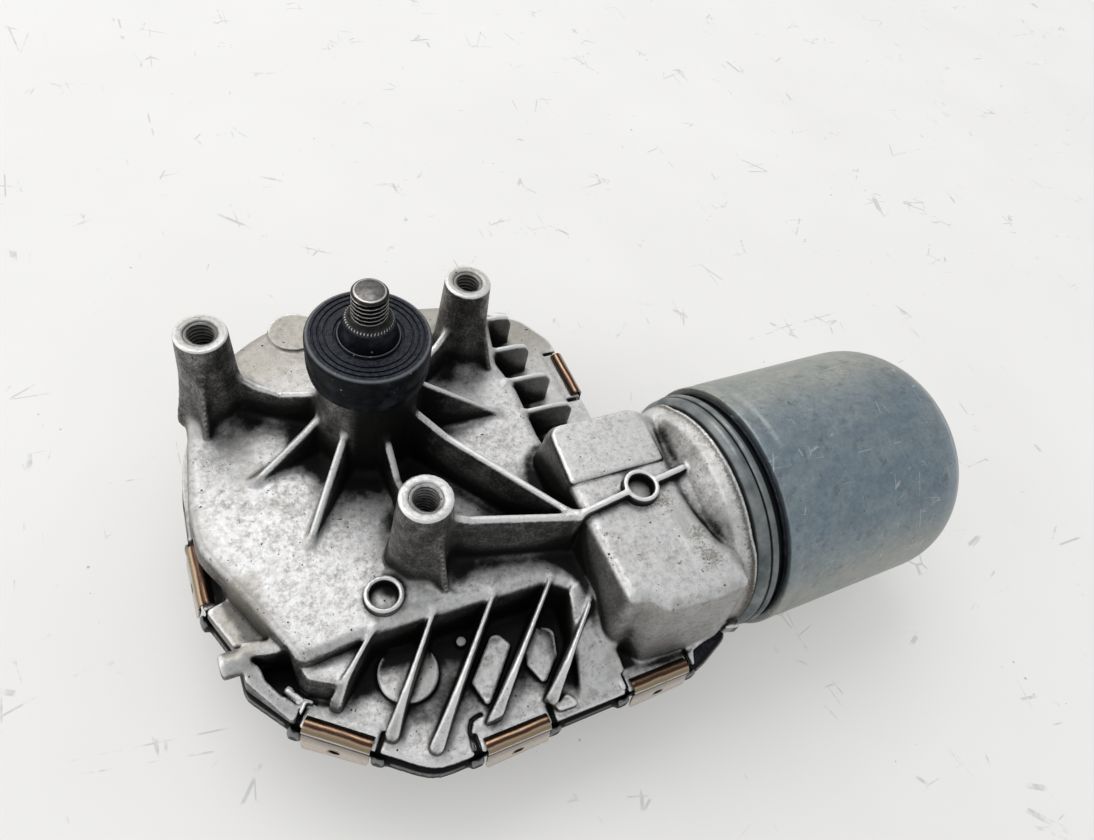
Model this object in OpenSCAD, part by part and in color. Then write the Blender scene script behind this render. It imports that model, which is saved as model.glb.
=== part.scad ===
// Windshield wiper gear motor: cast gear housing, worm drive and a round DC motor.
// Origin: centre of the three-boss bolt circle on the boss faces. +X runs along the motor axis.
// +Z is the output shaft's direction, away from the housing.

/* [Mounting bosses] */
// Bolt circle of the three bosses, mm
boss_pcd = 80.5; // [70:0.5:95]
// Direction of the first boss from the motor axis, degrees
boss_turn = 31.7; // [20:0.1:40]
// Boss face above the deck, mm
boss_height = 28.5; // [20:0.5:35]
// Radius of a boss face, mm
boss_radius = 6; // [5:0.1:8]
// Radius of the M6 threaded hole, mm
boss_hole_radius = 3; // [2.5:0.05:4]
// Depth of the deepest M6 threaded hole, mm
boss_hole_depth = 18; // [12:1:25]

/* [Gear housing] */
// Thickness of the deck, mm
deck_thickness = 2.5; // [2:0.1:4]
// Height of the deck above the rim, mm
deck_rise = 13.5; // [8:0.5:20]
// Thickness of the rim flange, mm
rim_thickness = 4; // [3:0.1:6]
// Radius of the gear chamber, mm
chamber_radius = 44.6; // [42:0.1:47]
// Radius of the hub that carries the output shaft, mm
hub_radius = 12.5; // [11:0.1:15]
// Height of the motor block above the deck, mm
block_rise = 14.5; // [8:0.5:20]
// Thickness of a rib or a cooling fin, mm
rib_thickness = 2.6; // [2:0.1:4]
// Radius of a blind ring on the deck, mm
ring_radius = 4.4; // [3:0.1:6]

/* [Cover] */
// Thickness of the rim seal, mm
seal_thickness = 0.8; // [0.5:0.1:2]
// Thickness of the cover flange, mm
cover_flange = 3.2; // [2:0.1:5]
// Wall of the cover's pan, mm
cover_wall = 2.5; // [1.5:0.1:4]
// Length of a spring clip, mm
clip_length = 17; // [12:0.5:24]

/* [Motor] */
// Distance of the motor axis in front of the output shaft, mm
axis_offset = 48.3; // [45:0.1:52]
// Depth of the motor axis below the boss faces, mm
axis_depth = 36.5; // [30:0.1:42]
// Radius of the motor can, mm
can_radius = 35.6; // [30:0.1:40]
// Wall of the motor can, mm
can_wall = 1.8; // [1:0.1:3]
// Position of the can's open end along the motor axis, mm
can_front = 88.4; // [80:0.1:95]
// Position of the can's closed end along the motor axis, mm
can_end = 162.8; // [150:0.1:175]
// Radius of the armature core, mm
core_radius = 22; // [18:0.1:26]

/* [Gears] */
// Module of the worm gear, mm
gear_module = 1.25; // [1:0.05:2]
// Teeth on the worm wheel
wheel_teeth = 69; // [50:1:90]
// Face width of the worm wheel, mm
wheel_width = 9; // [6:0.5:12]
// Length of the worm, mm
worm_length = 24; // [16:1:32]

/* [Output shaft] */
// Top of the shaft above the boss faces, mm
shaft_top = 25.4; // [18:0.1:32]
// Radius of the M8 threaded end, mm
thread_radius = 4; // [3:0.1:6]
// Length of the threaded end, mm
thread_length = 10.6; // [6:0.1:16]
// Radius of the shaft in its bushes, mm
journal_radius = 6; // [5:0.1:8]
// Radius of the rubber cap, mm
cap_radius = 14.5; // [13:0.1:18]
// Top of the rubber cap above the boss faces, mm
cap_top = 10.8; // [5:0.1:15]

/* [Hidden] */
$fn = 64;
eps = 0.02;
fit = 0.03;

deck_top = -boss_height;
deck_bottom = deck_top - deck_thickness;
rim_top = deck_top - deck_rise;
rim_bottom = rim_top - rim_thickness;
seal_bottom = rim_bottom - seal_thickness;
cover_bottom = seal_bottom - cover_flange;
block_top = deck_top + block_rise;
axis_y = -axis_offset;
axis_z = -axis_depth;
ground = axis_z - can_radius;
collar_front = can_front - 9;
flange_start = 72;
hub_top = -2;

wheel_radius = gear_module * wheel_teeth / 2;
worm_radius = axis_offset - wheel_radius;
tooth_reach = 0.68 * gear_module;
pitch = PI * gear_module;

cast = [0.66, 0.67, 0.68];
steel = [0.55, 0.56, 0.58];
zinc = [0.5, 0.55, 0.6];
bronze = [0.62, 0.48, 0.3];
black = [0.08, 0.08, 0.09];
rubber = [0.05, 0.05, 0.06];
copper = [0.72, 0.42, 0.22];
carbon = [0.15, 0.15, 0.16];
acetal = [0.9, 0.88, 0.8];
board = [0.1, 0.35, 0.18];

boss_angles = [for (k = [0:2]) boss_turn + 120 * k];

// Outlines run anticlockwise. Each corner is x, y and its rounding radius.
rim_outline = concat(
    [[71.5, -8, 1], [71.5, 28, 8], [65, 39, 8], [52, 46.2, 6]],
    [for (a = [80:12:176]) [48.9 * cos(a), 48.9 * sin(a), 20]],
    [[-49.8, -14, 30], [-49.8, -32, 10], [-44.5, -46, 4], [-44.5, -54, 4], [-34.8, -67.3, 3],
     [-9, -87.5, 12], [66, -87.5, 12], [78, -82, 3], [78, -8, 1]]);
deck_outline = concat(
    [[45.5, 20, 5], [49, 31, 4], [43, 39.5, 6]],
    [for (a = [70:12:166]) [46.9 * cos(a), 46.9 * sin(a), 20]],
    [[-48.3, -10, 30], [-48.3, -23, 12], [-35, -56, 4], [45.5, -56, 1]]);
pan_outline = [[62, -64, 6], [62, 32, 6], [-28, 32, 8], [-28, -64, 8]];

// Clips: position on the rim's edge and direction outward.
clip_left = [-49.8, -22.5, 180];
clip_front_left = [-28.3, -72.4, 232];
clip_front = [11.6, -87.5, 270];
clip_front_right = [52, -87.5, 270];
clip_rear_right = [71.5, 12.5, 0];
clip_rear = [30, 47.4, 86.4];
clips = [clip_left, clip_front_left, clip_front, clip_front_right, clip_rear_right, clip_rear];

// Ribs: start x, y and top, end x, y and top.
junction = [39, -49.5];
ribs = [
    [-10, 5.4, -16, -31, 16.6, -17],
    [-10, 0, -14, -32, -9.5, -28.3],
    [-7, -7, -12, -23.5, -31, -28.3],
    [1, -11, -12, 1.4, -36, -24],
    [7, -9, -9, junction[0], junction[1], -13],
    [10, -3, -16, 37, -6, -28],
    [9, 5.6, -14, 30, 18.4, -17],
    [5, -41.2, -9, junction[0], junction[1], -13],
];
// Front fins: x and y at the deck's edge, length.
front_fins = [[-16, -56, 14], [0, -56, 27], [15.6, -56, 34], [30, -56, 34], [41.5, -62, 26]];
front_fin_turn = 228;
rear_fins = [30.5, 18.2, 5.8, -5.9];
ring_one = [-10.2, -48.4];
ring_two = [57.5, -47.2];
peg = [-44.5, -50, -39.3];

// ---- Outline helpers ----

function unit(v) = v / norm(v);
function left_of(v) = [-v[1], v[0]];
function flat(p) = [p[0], p[1]];
function at(list, i) = list[(i + len(list)) % len(list)];

// An outline with every side moved inward.
function inset(outline, d) = [for (i = [0:len(outline) - 1])
    let (p = flat(outline[i]),
         a = left_of(unit(p - flat(at(outline, i - 1)))),
         b = left_of(unit(flat(at(outline, i + 1)) - p)),
         m = p + (a + b) * d / (1 + a * b))
    [m[0], m[1], max(outline[i][2] - d, 0.5)]];

function corner_arc(before, p, after, r) =
    let (u = unit(before - p),
         v = unit(after - p),
         half = acos(max(min(u * v, 1), -1)) / 2,
         reach = min(r / tan(half), 0.45 * norm(before - p), 0.45 * norm(after - p)),
         radius = reach * tan(half),
         centre = p + unit(u + v) * radius / sin(half),
         first = p + u * reach - centre,
         start = atan2(first[1], first[0]),
         side = (u[0] * v[1] - u[1] * v[0]) < 0 ? 1 : -1,
         turn = side * (180 - 2 * half),
         steps = max(1, ceil(abs(turn) / 20)))
    [for (k = [0:steps]) centre + radius * [cos(start + turn * k / steps), sin(start + turn * k / steps)]];

function rounded(outline) = [for (i = [0:len(outline) - 1])
    each corner_arc(flat(at(outline, i - 1)), flat(outline[i]), flat(at(outline, i + 1)), outline[i][2])];

module slab(outline, bottom, top) {
    translate([0, 0, bottom]) linear_extrude(top - bottom) polygon(rounded(outline));
}

// ---- Placing helpers ----

// Turns a piece made along +Z so that it lies along the motor axis, starting at x.
module on_axis(x) {
    translate([x, axis_y, axis_z]) rotate([0, 90, 0]) children();
}

module tube(outer, inner, length) {
    difference() {
        cylinder(r = outer, h = length);
        translate([0, 0, -eps]) cylinder(r = inner, h = length + 2 * eps);
    }
}

module box(low, high) {
    translate(low) cube(high - low);
}

// ---- Gear housing ----

module rib(r) {
    along = [r[3] - r[0], r[4] - r[1]];
    translate([r[0], r[1], 0]) rotate([0, 0, atan2(along[1], along[0])]) rotate([90, 0, 0])
        translate([0, 0, -rib_thickness / 2]) linear_extrude(rib_thickness)
            polygon([[0, deck_top - 1], [norm(along), deck_top - 1], [norm(along), r[5]], [0, r[2]]]);
}

module front_fin(f) {
    translate([f[0], f[1], 0]) rotate([0, 0, front_fin_turn]) rotate([90, 0, 0])
        translate([0, 0, -rib_thickness / 2]) linear_extrude(rib_thickness)
            polygon([[-4, rim_top - 1], [f[2], rim_top - 1], [f[2], rim_top + 2.5],
                     [f[2] * 0.82, rim_top + 7], [0, deck_top - 0.2], [-4, deck_top - 0.2]]);
}

module rear_fin(y) {
    reach = y < 0 ? 17 : 13;
    translate([44, y - rib_thickness / 2, 0]) rotate([90, 0, 0]) mirror([0, 0, 1])
        linear_extrude(rib_thickness)
            polygon([[0, rim_top - 1], [reach + 3, rim_top - 1], [reach + 3, deck_top - 4],
                     [reach, deck_top - 0.2], [0, deck_top - 0.2]]);
}

module boss_positions() {
    for (a = boss_angles) rotate([0, 0, a]) translate([boss_pcd / 2, 0, 0]) children();
}

module motor_block() {
    block = [[76, -76, 5], [76, -22.5, 5], [41, -22.5, 5], [41, -76, 5]];
    slab(block, rim_top - 1, block_top);
    // Round flange that carries the motor
    on_axis(flange_start) cylinder(r1 = 27, r2 = 32, h = collar_front - flange_start - 1.5);
    on_axis(collar_front - 1.5) cylinder(r = 32.3, h = 1.5);
}

module shaft_hub() {
    translate([0, 0, deck_top - 1]) cylinder(r1 = hub_radius + 1.5, r2 = hub_radius, h = hub_top - deck_top + 1);
}

module housing_body() {
    slab(rim_outline, rim_bottom, rim_top);
    slab(deck_outline, rim_top - 1, deck_top);
    motor_block();
    shaft_hub();
    boss_positions() translate([0, 0, deck_top - 1])
        cylinder(r1 = boss_radius + 1.6, r2 = boss_radius, h = boss_height + 1);
    for (r = ribs) rib(r);
    for (f = front_fins) front_fin(f);
    for (y = rear_fins) rear_fin(y);
    translate([ring_one[0], ring_one[1], deck_top - 1]) cylinder(r = ring_radius, h = 3);
    translate([ring_two[0], ring_two[1], block_top - 1]) cylinder(r = ring_radius, h = 3);
    box([junction[0], ring_two[1] - 2.4, block_top - 1], [76, ring_two[1] - 0.4, block_top + 1]);
    // Locating peg on the left end of the rim
    translate([peg[0], peg[1], peg[2]]) rotate([0, -90, 0]) cylinder(r = 2.8, h = 5);
    box([peg[0] - 0.5, peg[1] - 3.6, rim_bottom + 0.5], [peg[0] + 8, peg[1] + 3.6, peg[2] + 3.2]);
    // Walls around the worm and the front bearing
    box([-30, axis_y - 7.7, rim_bottom], [30, axis_y - 6.9, deck_bottom + 1]);
}

module housing_hollows() {
    translate([0, 0, rim_bottom - eps]) cylinder(r = chamber_radius, h = deck_bottom - rim_bottom + eps);
    translate([0, 0, deck_bottom - 1]) cylinder(r = journal_radius + 2, h = 60);
    translate([0, 0, hub_top - 6]) cylinder(r = journal_radius + 3.5, h = 10);
    // Each threaded hole is a little shallower than the one before
    for (k = [0:2]) rotate([0, 0, boss_angles[k]]) translate([boss_pcd / 2, 0, k - boss_hole_depth])
        cylinder(r = boss_hole_radius, h = boss_hole_depth + 1);
    for (p = [[ring_one, deck_top], [ring_two, block_top]])
        translate([p[0][0], p[0][1], p[1] - 0.5]) cylinder(r = ring_radius - 1.05, h = 4);
    // Worm tunnel, open to the gear chamber
    on_axis(-14) cylinder(r = worm_radius + tooth_reach + 0.3, h = 28);
    box([-14, axis_y - 6, rim_bottom - 1], [14, axis_y + 8, axis_z]);
    on_axis(-30) cylinder(r = 6 - fit, h = 30);
    on_axis(10) cylinder(r = 5.2, h = 90);
    on_axis(46) cylinder(r = 11, h = 7);
    on_axis(53) cylinder(r = 9, h = 40);
    on_axis(collar_front - 3.5) cylinder(r = 29, h = 10);
    // Pocket in the wall for the left clip
    box([-56, clip_left[1] - 9.5, rim_top], [-45, clip_left[1] + 9.5, rim_top + 5]);
    // Weight-saving pockets in the block, open below
    box([57, -72, rim_bottom - 1], [70, -58, block_top - 4]);
    box([57, -38, rim_bottom - 1], [70, -26, block_top - 4]);
}

module gear_housing() {
    color(cast) difference() {
        housing_body();
        housing_hollows();
    }
}

// ---- Cover and its clips ----

// Keeps the cover and its seal clear of the round motor flange
module flange_clearance() {
    on_axis(flange_start - 0.4) cylinder(r = 33.5, h = 40);
}

module bottom_cover() {
    inner_pan = inset(pan_outline, cover_wall);
    color(black) difference() {
        union() {
            slab(inset(rim_outline, 0.5), cover_bottom, seal_bottom);
            slab(pan_outline, ground, cover_bottom + 1);
            // Lugs that hold each clip sideways
            for (c = clips) for (side = [-1, 1])
                translate([c[0], c[1], 0]) rotate([0, 0, c[2]])
                    translate([-2.5, side * (clip_length / 2 + 1.6) - 1.1, cover_bottom]) cube([4.2, 2.2, 5.4]);
            // Housing of the plug connection
            box([-6, 30, ground + 1], [26, 50, ground + 17]);
        }
        flange_clearance();
        slab(inner_pan, ground + cover_wall, 0);
        box([-3.5, 26, ground + 3.5], [23.5, 60, ground + 14.5]);
        // The rim of the housing sits inside the lugs
        slab(inset(rim_outline, -0.2), seal_bottom, 0);
    }
}

module cover_seal() {
    color(rubber) difference() {
        slab(inset(rim_outline, 0.9), seal_bottom + fit, rim_bottom - fit);
        slab(inset(rim_outline, 3.4), seal_bottom - 1, rim_bottom + 1);
        flange_clearance();
    }
}

clip_section = concat(
    [[-4.2, rim_top + 0.05], [-4.2, rim_top + 0.8]],
    [for (a = [150:-20:-10]) [-1.2 + 2.6 * cos(a), rim_top + 0.4 + 2.1 * sin(a)]],
    [[1.5, rim_top - 3], [3.4, rim_top - 10.8], [2.5, rim_top - 11.2], [0.6, rim_top - 3.3]],
    [for (a = [0:20:140]) [-1.2 + 1.8 * cos(a), rim_top + 0.3 + 1.3 * sin(a)]]);

module spring_clip(place) {
    color(bronze) translate([place[0], place[1], 0]) rotate([0, 0, place[2]]) rotate([90, 0, 0]) difference() {
        union() {
            translate([0, 0, -clip_length / 2]) linear_extrude(clip_length) polygon(clip_section);
            // Tongue that hooks under the cover's flange
            translate([0, 0, -3]) linear_extrude(6)
                polygon([[1.4, rim_top - 8], [2.2, rim_top - 8], [1.6, cover_bottom - 0.9],
                         [-3, cover_bottom - 0.9], [-3, cover_bottom - 0.1], [0.9, cover_bottom - 0.1]]);
        }
        translate([0, rim_top - 6.4, 0]) rotate([0, 90, 0]) cylinder(r = 0.7, h = 9);
    }
}

module clip_left_spring() spring_clip(clip_left);
module clip_front_left_spring() spring_clip(clip_front_left);
module clip_front_spring() spring_clip(clip_front);
module clip_front_right_spring() spring_clip(clip_front_right);
module clip_rear_right_spring() spring_clip(clip_rear_right);
module clip_rear_spring() spring_clip(clip_rear);

// ---- Output shaft and wheel ----

module upper_bush() {
    color(copper) translate([0, 0, hub_top - 14]) tube(journal_radius + 2, journal_radius + fit, 8);
}

module lower_bush() {
    color(copper) translate([0, 0, deck_bottom + 0.3]) tube(journal_radius + 2, journal_radius + fit, 8);
}

module shaft_seal() {
    color(rubber) translate([0, 0, hub_top - 5.6]) tube(journal_radius + 3.5, journal_radius + 0.3, 2.4);
}

module rubber_cap() {
    lip = cap_top + 2.6;
    color(rubber) difference() {
        union() {
            translate([0, 0, cap_top - 12]) cylinder(r1 = cap_radius - 0.8, r2 = cap_radius, h = 3);
            translate([0, 0, cap_top - 9]) cylinder(r = cap_radius, h = 8.4);
            translate([0, 0, cap_top - 0.6]) cylinder(r1 = cap_radius, r2 = cap_radius - 0.6, h = 0.6);
            translate([0, 0, cap_top - 0.5]) cylinder(r1 = 7.6, r2 = 6.6, h = lip - cap_top + 0.5);
        }
        translate([0, 0, cap_top - 13]) cylinder(r = hub_radius + fit, h = hub_top - cap_top + 13 + fit);
        translate([0, 0, -5]) cylinder(r = journal_radius + 0.3, h = 30);
        // Three shallow rings on the upper face
        for (r = [9.3, 11, 12.6])
            translate([0, 0, cap_top - 0.3]) tube(r + 0.25, r, 1);
    }
}

module output_shaft() {
    knurl_bottom = shaft_top - thread_length - 2.6;
    color(steel) union() {
        translate([0, 0, shaft_top - 1]) cylinder(r1 = thread_radius, r2 = thread_radius - 1, h = 1);
        translate([0, 0, shaft_top - thread_length]) cylinder(r = thread_radius, h = thread_length - 1);
        translate([0, 0, knurl_bottom]) cylinder(r1 = 5.5, r2 = 4.4, h = shaft_top - thread_length - knurl_bottom);
        translate([0, 0, deck_bottom - 13]) cylinder(r = journal_radius, h = knurl_bottom - deck_bottom + 13 - 4);
        translate([0, 0, knurl_bottom - 4]) cylinder(r = 5.5, h = 4);
    }
}

module wheel_hub() {
    color(steel) translate([0, 0, axis_z - wheel_width / 2]) {
        tube(10, journal_radius + fit / 2, wheel_width);
        translate([0, 0, wheel_width / 2 - 1.5]) tube(24, 9.9, 3);
    }
}

// One tooth gap is left between teeth, so the wheel is drawn tooth by tooth.
function wheel_point(k) =
    let (step = 360 / wheel_teeth, a = -90 + step * floor(k / 4), part = k % 4,
         root = wheel_radius - tooth_reach - 0.35, tip = wheel_radius + tooth_reach,
         wide = 0.27 * step, thin = 0.14 * step)
    part == 0 ? root * [cos(a - wide), sin(a - wide)]
    : part == 1 ? tip * [cos(a - thin), sin(a - thin)]
    : part == 2 ? tip * [cos(a + thin), sin(a + thin)]
    : root * [cos(a + wide), sin(a + wide)];

module worm_wheel() {
    color(acetal) translate([0, 0, axis_z - wheel_width / 2]) difference() {
        linear_extrude(wheel_width) polygon([for (k = [0:4 * wheel_teeth - 1]) wheel_point(k)]);
        translate([0, 0, -1]) cylinder(r = 10 + fit / 2, h = wheel_width + 2);
        translate([0, 0, wheel_width / 2 - 1.5 - fit]) cylinder(r = 24 + fit, h = 3 + 2 * fit);
        // Recesses that leave a web between hub and teeth
        translate([0, 0, wheel_width - 2.5]) tube(38, 14, 5);
        translate([0, 0, -2.5]) tube(38, 14, 5);
    }
}

module retaining_ring() {
    color(steel) translate([0, 0, axis_z - wheel_width / 2 - 1.1]) difference() {
        cylinder(r = 8, h = 1);
        translate([0, 0, -1]) cylinder(r = journal_radius + fit / 2, h = 3);
        box([4, -1.5, -1], [9, 1.5, 3]);
    }
}

module thrust_washer() {
    color(steel) translate([0, 0, axis_z + wheel_width / 2 + 0.1]) tube(9, journal_radius + fit / 2, 0.8);
}

module position_magnet() {
    color(carbon) translate([0, 0, deck_bottom - 13 - 2.2]) cylinder(r = 4.5, h = 2.2 - fit);
}

// ---- Worm and armature ----

worm_steps = 20;
worm_turns = worm_length / pitch;

// Section of the thread: height out from the root and half width, root to tip.
function worm_point(k, corner) =
    let (turn = 360 * k / worm_steps,
         ends = min(1, k / 8, (worm_turns * worm_steps - k) / 8),
         root = worm_radius - tooth_reach - 0.5,
         tip = root + 0.1 + (2 * tooth_reach + 0.4) * ends,
         r = corner == 1 || corner == 2 ? tip : root - 0.6,
         half = corner == 0 || corner == 3 ? 0.23 * pitch : 0.12 * pitch,
         x = pitch * k / worm_steps - worm_length / 2 + (corner < 2 ? -half : half))
    [x, r * cos(turn + worm_phase), r * sin(turn + worm_phase)];

// The gap between two wheel teeth faces the worm thread at rest.
worm_phase = 180 - 180 * worm_length / pitch;
worm_rings = floor(worm_turns * worm_steps);

module worm_thread() {
    polyhedron(
        points = [for (k = [0:worm_rings], c = [0:3]) worm_point(k, c)],
        faces = concat(
            [[3, 2, 1, 0]],
            [[4 * worm_rings, 4 * worm_rings + 1, 4 * worm_rings + 2, 4 * worm_rings + 3]],
            [for (k = [0:worm_rings - 1], c = [0:3])
                [4 * k + c, 4 * k + (c + 1) % 4, 4 * k + 4 + (c + 1) % 4]],
            [for (k = [0:worm_rings - 1], c = [0:3])
                [4 * k + c, 4 * k + 4 + (c + 1) % 4, 4 * k + 4 + c]]));
}

module worm() {
    core = worm_radius - tooth_reach - 0.5;
    color(steel) translate([0, axis_y, axis_z]) difference() {
        union() {
            worm_thread();
            translate([-worm_length / 2 - 1.5, 0, 0]) rotate([0, 90, 0]) cylinder(r = core, h = worm_length + 3);
        }
        translate([-20, 0, 0]) rotate([0, 90, 0]) cylinder(r = 2.8, h = 40);
    }
}

module armature_shaft() {
    color(steel) union() {
        on_axis(-26) cylinder(r = 2.6, h = 42);
        on_axis(14) cylinder(r = 4, h = can_end - 4.6 - 14);
    }
}

core_start = 101;
core_length = 40;

module armature_core() {
    slots = 12;
    color(steel) on_axis(core_start) difference() {
        cylinder(r = core_radius, h = core_length);
        translate([0, 0, -1]) cylinder(r = 4 + fit / 2, h = core_length + 2);
        for (k = [0:slots - 1]) rotate([0, 0, 360 * k / slots])
            translate([12, -2.5, -1]) cube([8, 5, core_length + 2]);
        for (k = [0:slots - 1]) rotate([0, 0, 360 * k / slots])
            translate([19, -1, -1]) cube([5, 2, core_length + 2]);
    }
}

module armature_windings() {
    slots = 12;
    color(copper) on_axis(core_start) union() {
        translate([0, 0, -5]) tube(19, 6, 5 - fit);
        translate([0, 0, core_length + fit]) tube(19, 6, 5);
        for (k = [0:slots - 1]) rotate([0, 0, 360 * k / slots])
            translate([12.2, -2.3, -1]) cube([6.6, 4.6, core_length + 2]);
    }
}

module commutator() {
    bars = 12;
    color(copper) on_axis(80.5) difference() {
        union() {
            tube(10, 4 + fit / 2, 12);
            translate([0, 0, 10]) tube(11.5, 4 + fit / 2, 2);
        }
        for (k = [0:bars - 1]) rotate([0, 0, 360 * (k + 0.5) / bars]) translate([9, -0.25, -1]) cube([5, 0.5, 14]);
    }
}

// ---- Bearings ----

module raceway() {
    translate([0, 0, 3.5]) rotate_extrude() translate([7.5, 0]) circle(r = 1.95);
}

module bearing_outer_ring() {
    color(steel) on_axis(46) difference() {
        tube(11, 8.9, 7);
        raceway();
    }
}

module bearing_inner_ring() {
    color(steel) on_axis(46) difference() {
        tube(6.1, 4 + fit / 2, 7);
        raceway();
    }
}

module bearing_balls() {
    balls = 8;
    color(steel) on_axis(46) translate([0, 0, 3.5]) {
        for (k = [0:balls - 1]) rotate([0, 0, 360 * k / balls]) translate([7.5, 0, 0]) sphere(r = 1.85, $fn = 24);
        translate([0, 0, -0.4]) tube(7.9, 7.1, 0.8);
    }
}

module front_bush() {
    color(copper) on_axis(-24) tube(6 - fit, 2.6 + fit, 7);
}

module front_thrust_pad() {
    color(acetal) on_axis(-29.5) cylinder(r = 5.6, h = 3.4);
}

module rear_bush() {
    color(copper) on_axis(can_end - 13) difference() {
        cylinder(r = 8.5, h = 7);
        translate([0, 0, -1]) cylinder(r = 4 + fit, h = 9);
    }
}

module rear_thrust_button() {
    color(steel) on_axis(can_end - 4.5) cylinder(r = 3, h = 2.4);
}

// ---- Motor can ----

end_radius = 20;

function can_profile(radius, last, bend) = concat(
    [[0, can_front], [radius, can_front]],
    [for (a = [0:10:90]) [radius - bend + bend * cos(a), last - bend + bend * sin(a)]],
    [[0, last]]);

module motor_can() {
    cup_start = can_end - 13;
    color(zinc) union() {
        translate([0, axis_y, axis_z]) rotate([0, 90, 0]) difference() {
            rotate_extrude($fn = 96) polygon(can_profile(can_radius, can_end, end_radius));
            translate([0, 0, -eps]) rotate_extrude($fn = 96)
                polygon(can_profile(can_radius - can_wall, can_end - can_wall, end_radius - can_wall));
        }
        // Cup that holds the rear bush
        on_axis(cup_start) tube(10, 8.5 + fit / 2, can_end - can_wall + eps - cup_start);
    }
}

module motor_collar() {
    steps = [[32.4, 0, 1.2], [33.9, 1.2, 3.2], [33.2, 4.4, 1.6], [34.4, 6, 1.9]];
    color(zinc) on_axis(collar_front + fit) difference() {
        for (s = steps) translate([0, 0, s[1]]) cylinder(r = s[0], h = s[2] + eps);
        translate([0, 0, -1]) cylinder(r = 30, h = 12);
    }
}

module collar_seal() {
    color(rubber) on_axis(can_front - 1 + fit) tube(33.9, 30, 1 - 2 * fit);
}

module magnet(number) {
    span = 74;
    outer = can_radius - can_wall;
    inner = core_radius + 0.9;
    color(carbon) on_axis(100) rotate([0, 0, 45 + 90 * number]) intersection() {
        tube(outer - fit, inner, 42);
        linear_extrude(50) polygon([[0, 0], 60 * [cos(span / 2), -sin(span / 2)], [60, 0],
            60 * [cos(span / 2), sin(span / 2)]]);
    }
}

module magnet_1() magnet(1);
module magnet_2() magnet(2);
module magnet_3() magnet(3);
module magnet_4() magnet(4);

// ---- Brush gear ----

module brush_holder() {
    color(black) on_axis(collar_front - 3.3) difference() {
        union() {
            tube(28.8, 12.5, 3);
            for (side = [-1, 1]) translate([-4.2, side > 0 ? 12.8 : -28, 2]) cube([8.4, 15.2, 12.4]);
        }
        for (side = [-1, 1]) translate([-2.65, side > 0 ? 10 : -26.3, 5.4]) cube([5.3, 16.3, 7.3]);
    }
}

module brush(side) {
    color(carbon) on_axis(collar_front - 3.3) translate([-2.5, side > 0 ? 10.3 : -20.3, 5.55]) cube([5, 10, 7]);
}

module brush_spring(side) {
    color(steel) on_axis(collar_front - 3.3) translate([0, side * 20.4, 9])
        rotate([side > 0 ? -90 : 90, 0, 0]) tube(2, 1.5, 5.7);
}

module brush_1() brush(1);
module brush_2() brush(-1);
module brush_spring_1() brush_spring(1);
module brush_spring_2() brush_spring(-1);

// ---- Electronics ----

board_top = deck_bottom - 21;

module control_board() {
    color(board) difference() {
        slab(inset(pan_outline, cover_wall + 0.3), board_top - 1.6, board_top);
        on_axis(50) cylinder(r = 34, h = 40);
    }
    // Posts that carry the board on the pan's floor
    color(black) for (x = [-20, 30], y = [-56, 24])
        translate([x, y, ground + cover_wall + fit]) cylinder(r = 2.5, h = board_top - 1.6 - ground - cover_wall - fit + eps);
}

module position_sensor() {
    color(carbon) box([-2.5, -2.5, board_top + fit], [2.5, 2.5, board_top + 1.6]);
}

module capacitor() {
    color(zinc) translate([-12, -50, board_top - 1.6 - 12 - fit]) cylinder(r = 5, h = 12);
}

module connector_socket() {
    color(black) difference() {
        box([-3.2, 30, ground + 3.8], [23.2, 49.5, ground + 14.2]);
        box([-1.7, 33, ground + 5.3], [21.7, 60, ground + 12.7]);
    }
}

module connector_pins() {
    color(copper) for (k = [0:5])
        translate([k * 4, 24.5, ground + 8.5]) cube([0.8, 20.5, 0.8]);
}

gear_housing();
bottom_cover();
cover_seal();
clip_left_spring();
clip_front_left_spring();
clip_front_spring();
clip_front_right_spring();
clip_rear_right_spring();
clip_rear_spring();
upper_bush();
lower_bush();
shaft_seal();
rubber_cap();
output_shaft();
wheel_hub();
worm_wheel();
thrust_washer();
retaining_ring();
position_magnet();
motor_collar();
collar_seal();
motor_can();
magnet_1();
magnet_2();
magnet_3();
magnet_4();
armature_shaft();
worm();
armature_core();
armature_windings();
commutator();
bearing_outer_ring();
bearing_inner_ring();
bearing_balls();
front_thrust_pad();
front_bush();
rear_bush();
rear_thrust_button();
brush_holder();
brush_1();
brush_2();
brush_spring_1();
brush_spring_2();
control_board();
position_sensor();
capacitor();
connector_socket();
connector_pins();
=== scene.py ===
"""Windshield wiper gear motor: cast housing, cover, clips, shaft and motor can over the CAD frame."""
import math

import bmesh
import bpy
import numpy as np
import openvdb
from mathutils import Matrix, Vector


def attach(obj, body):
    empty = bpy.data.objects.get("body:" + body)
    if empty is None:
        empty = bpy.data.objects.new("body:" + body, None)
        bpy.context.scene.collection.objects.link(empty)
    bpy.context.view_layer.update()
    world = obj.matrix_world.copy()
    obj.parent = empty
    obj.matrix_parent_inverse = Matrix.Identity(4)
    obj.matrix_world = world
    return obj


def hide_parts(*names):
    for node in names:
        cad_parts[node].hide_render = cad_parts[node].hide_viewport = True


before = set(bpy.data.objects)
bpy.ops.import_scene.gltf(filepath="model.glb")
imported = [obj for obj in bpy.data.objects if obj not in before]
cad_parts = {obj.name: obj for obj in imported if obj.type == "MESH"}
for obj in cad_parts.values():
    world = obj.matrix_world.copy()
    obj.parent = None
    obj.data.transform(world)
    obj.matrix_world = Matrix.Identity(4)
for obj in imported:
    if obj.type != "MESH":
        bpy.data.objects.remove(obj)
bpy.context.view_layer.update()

MM = 0.001

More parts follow.
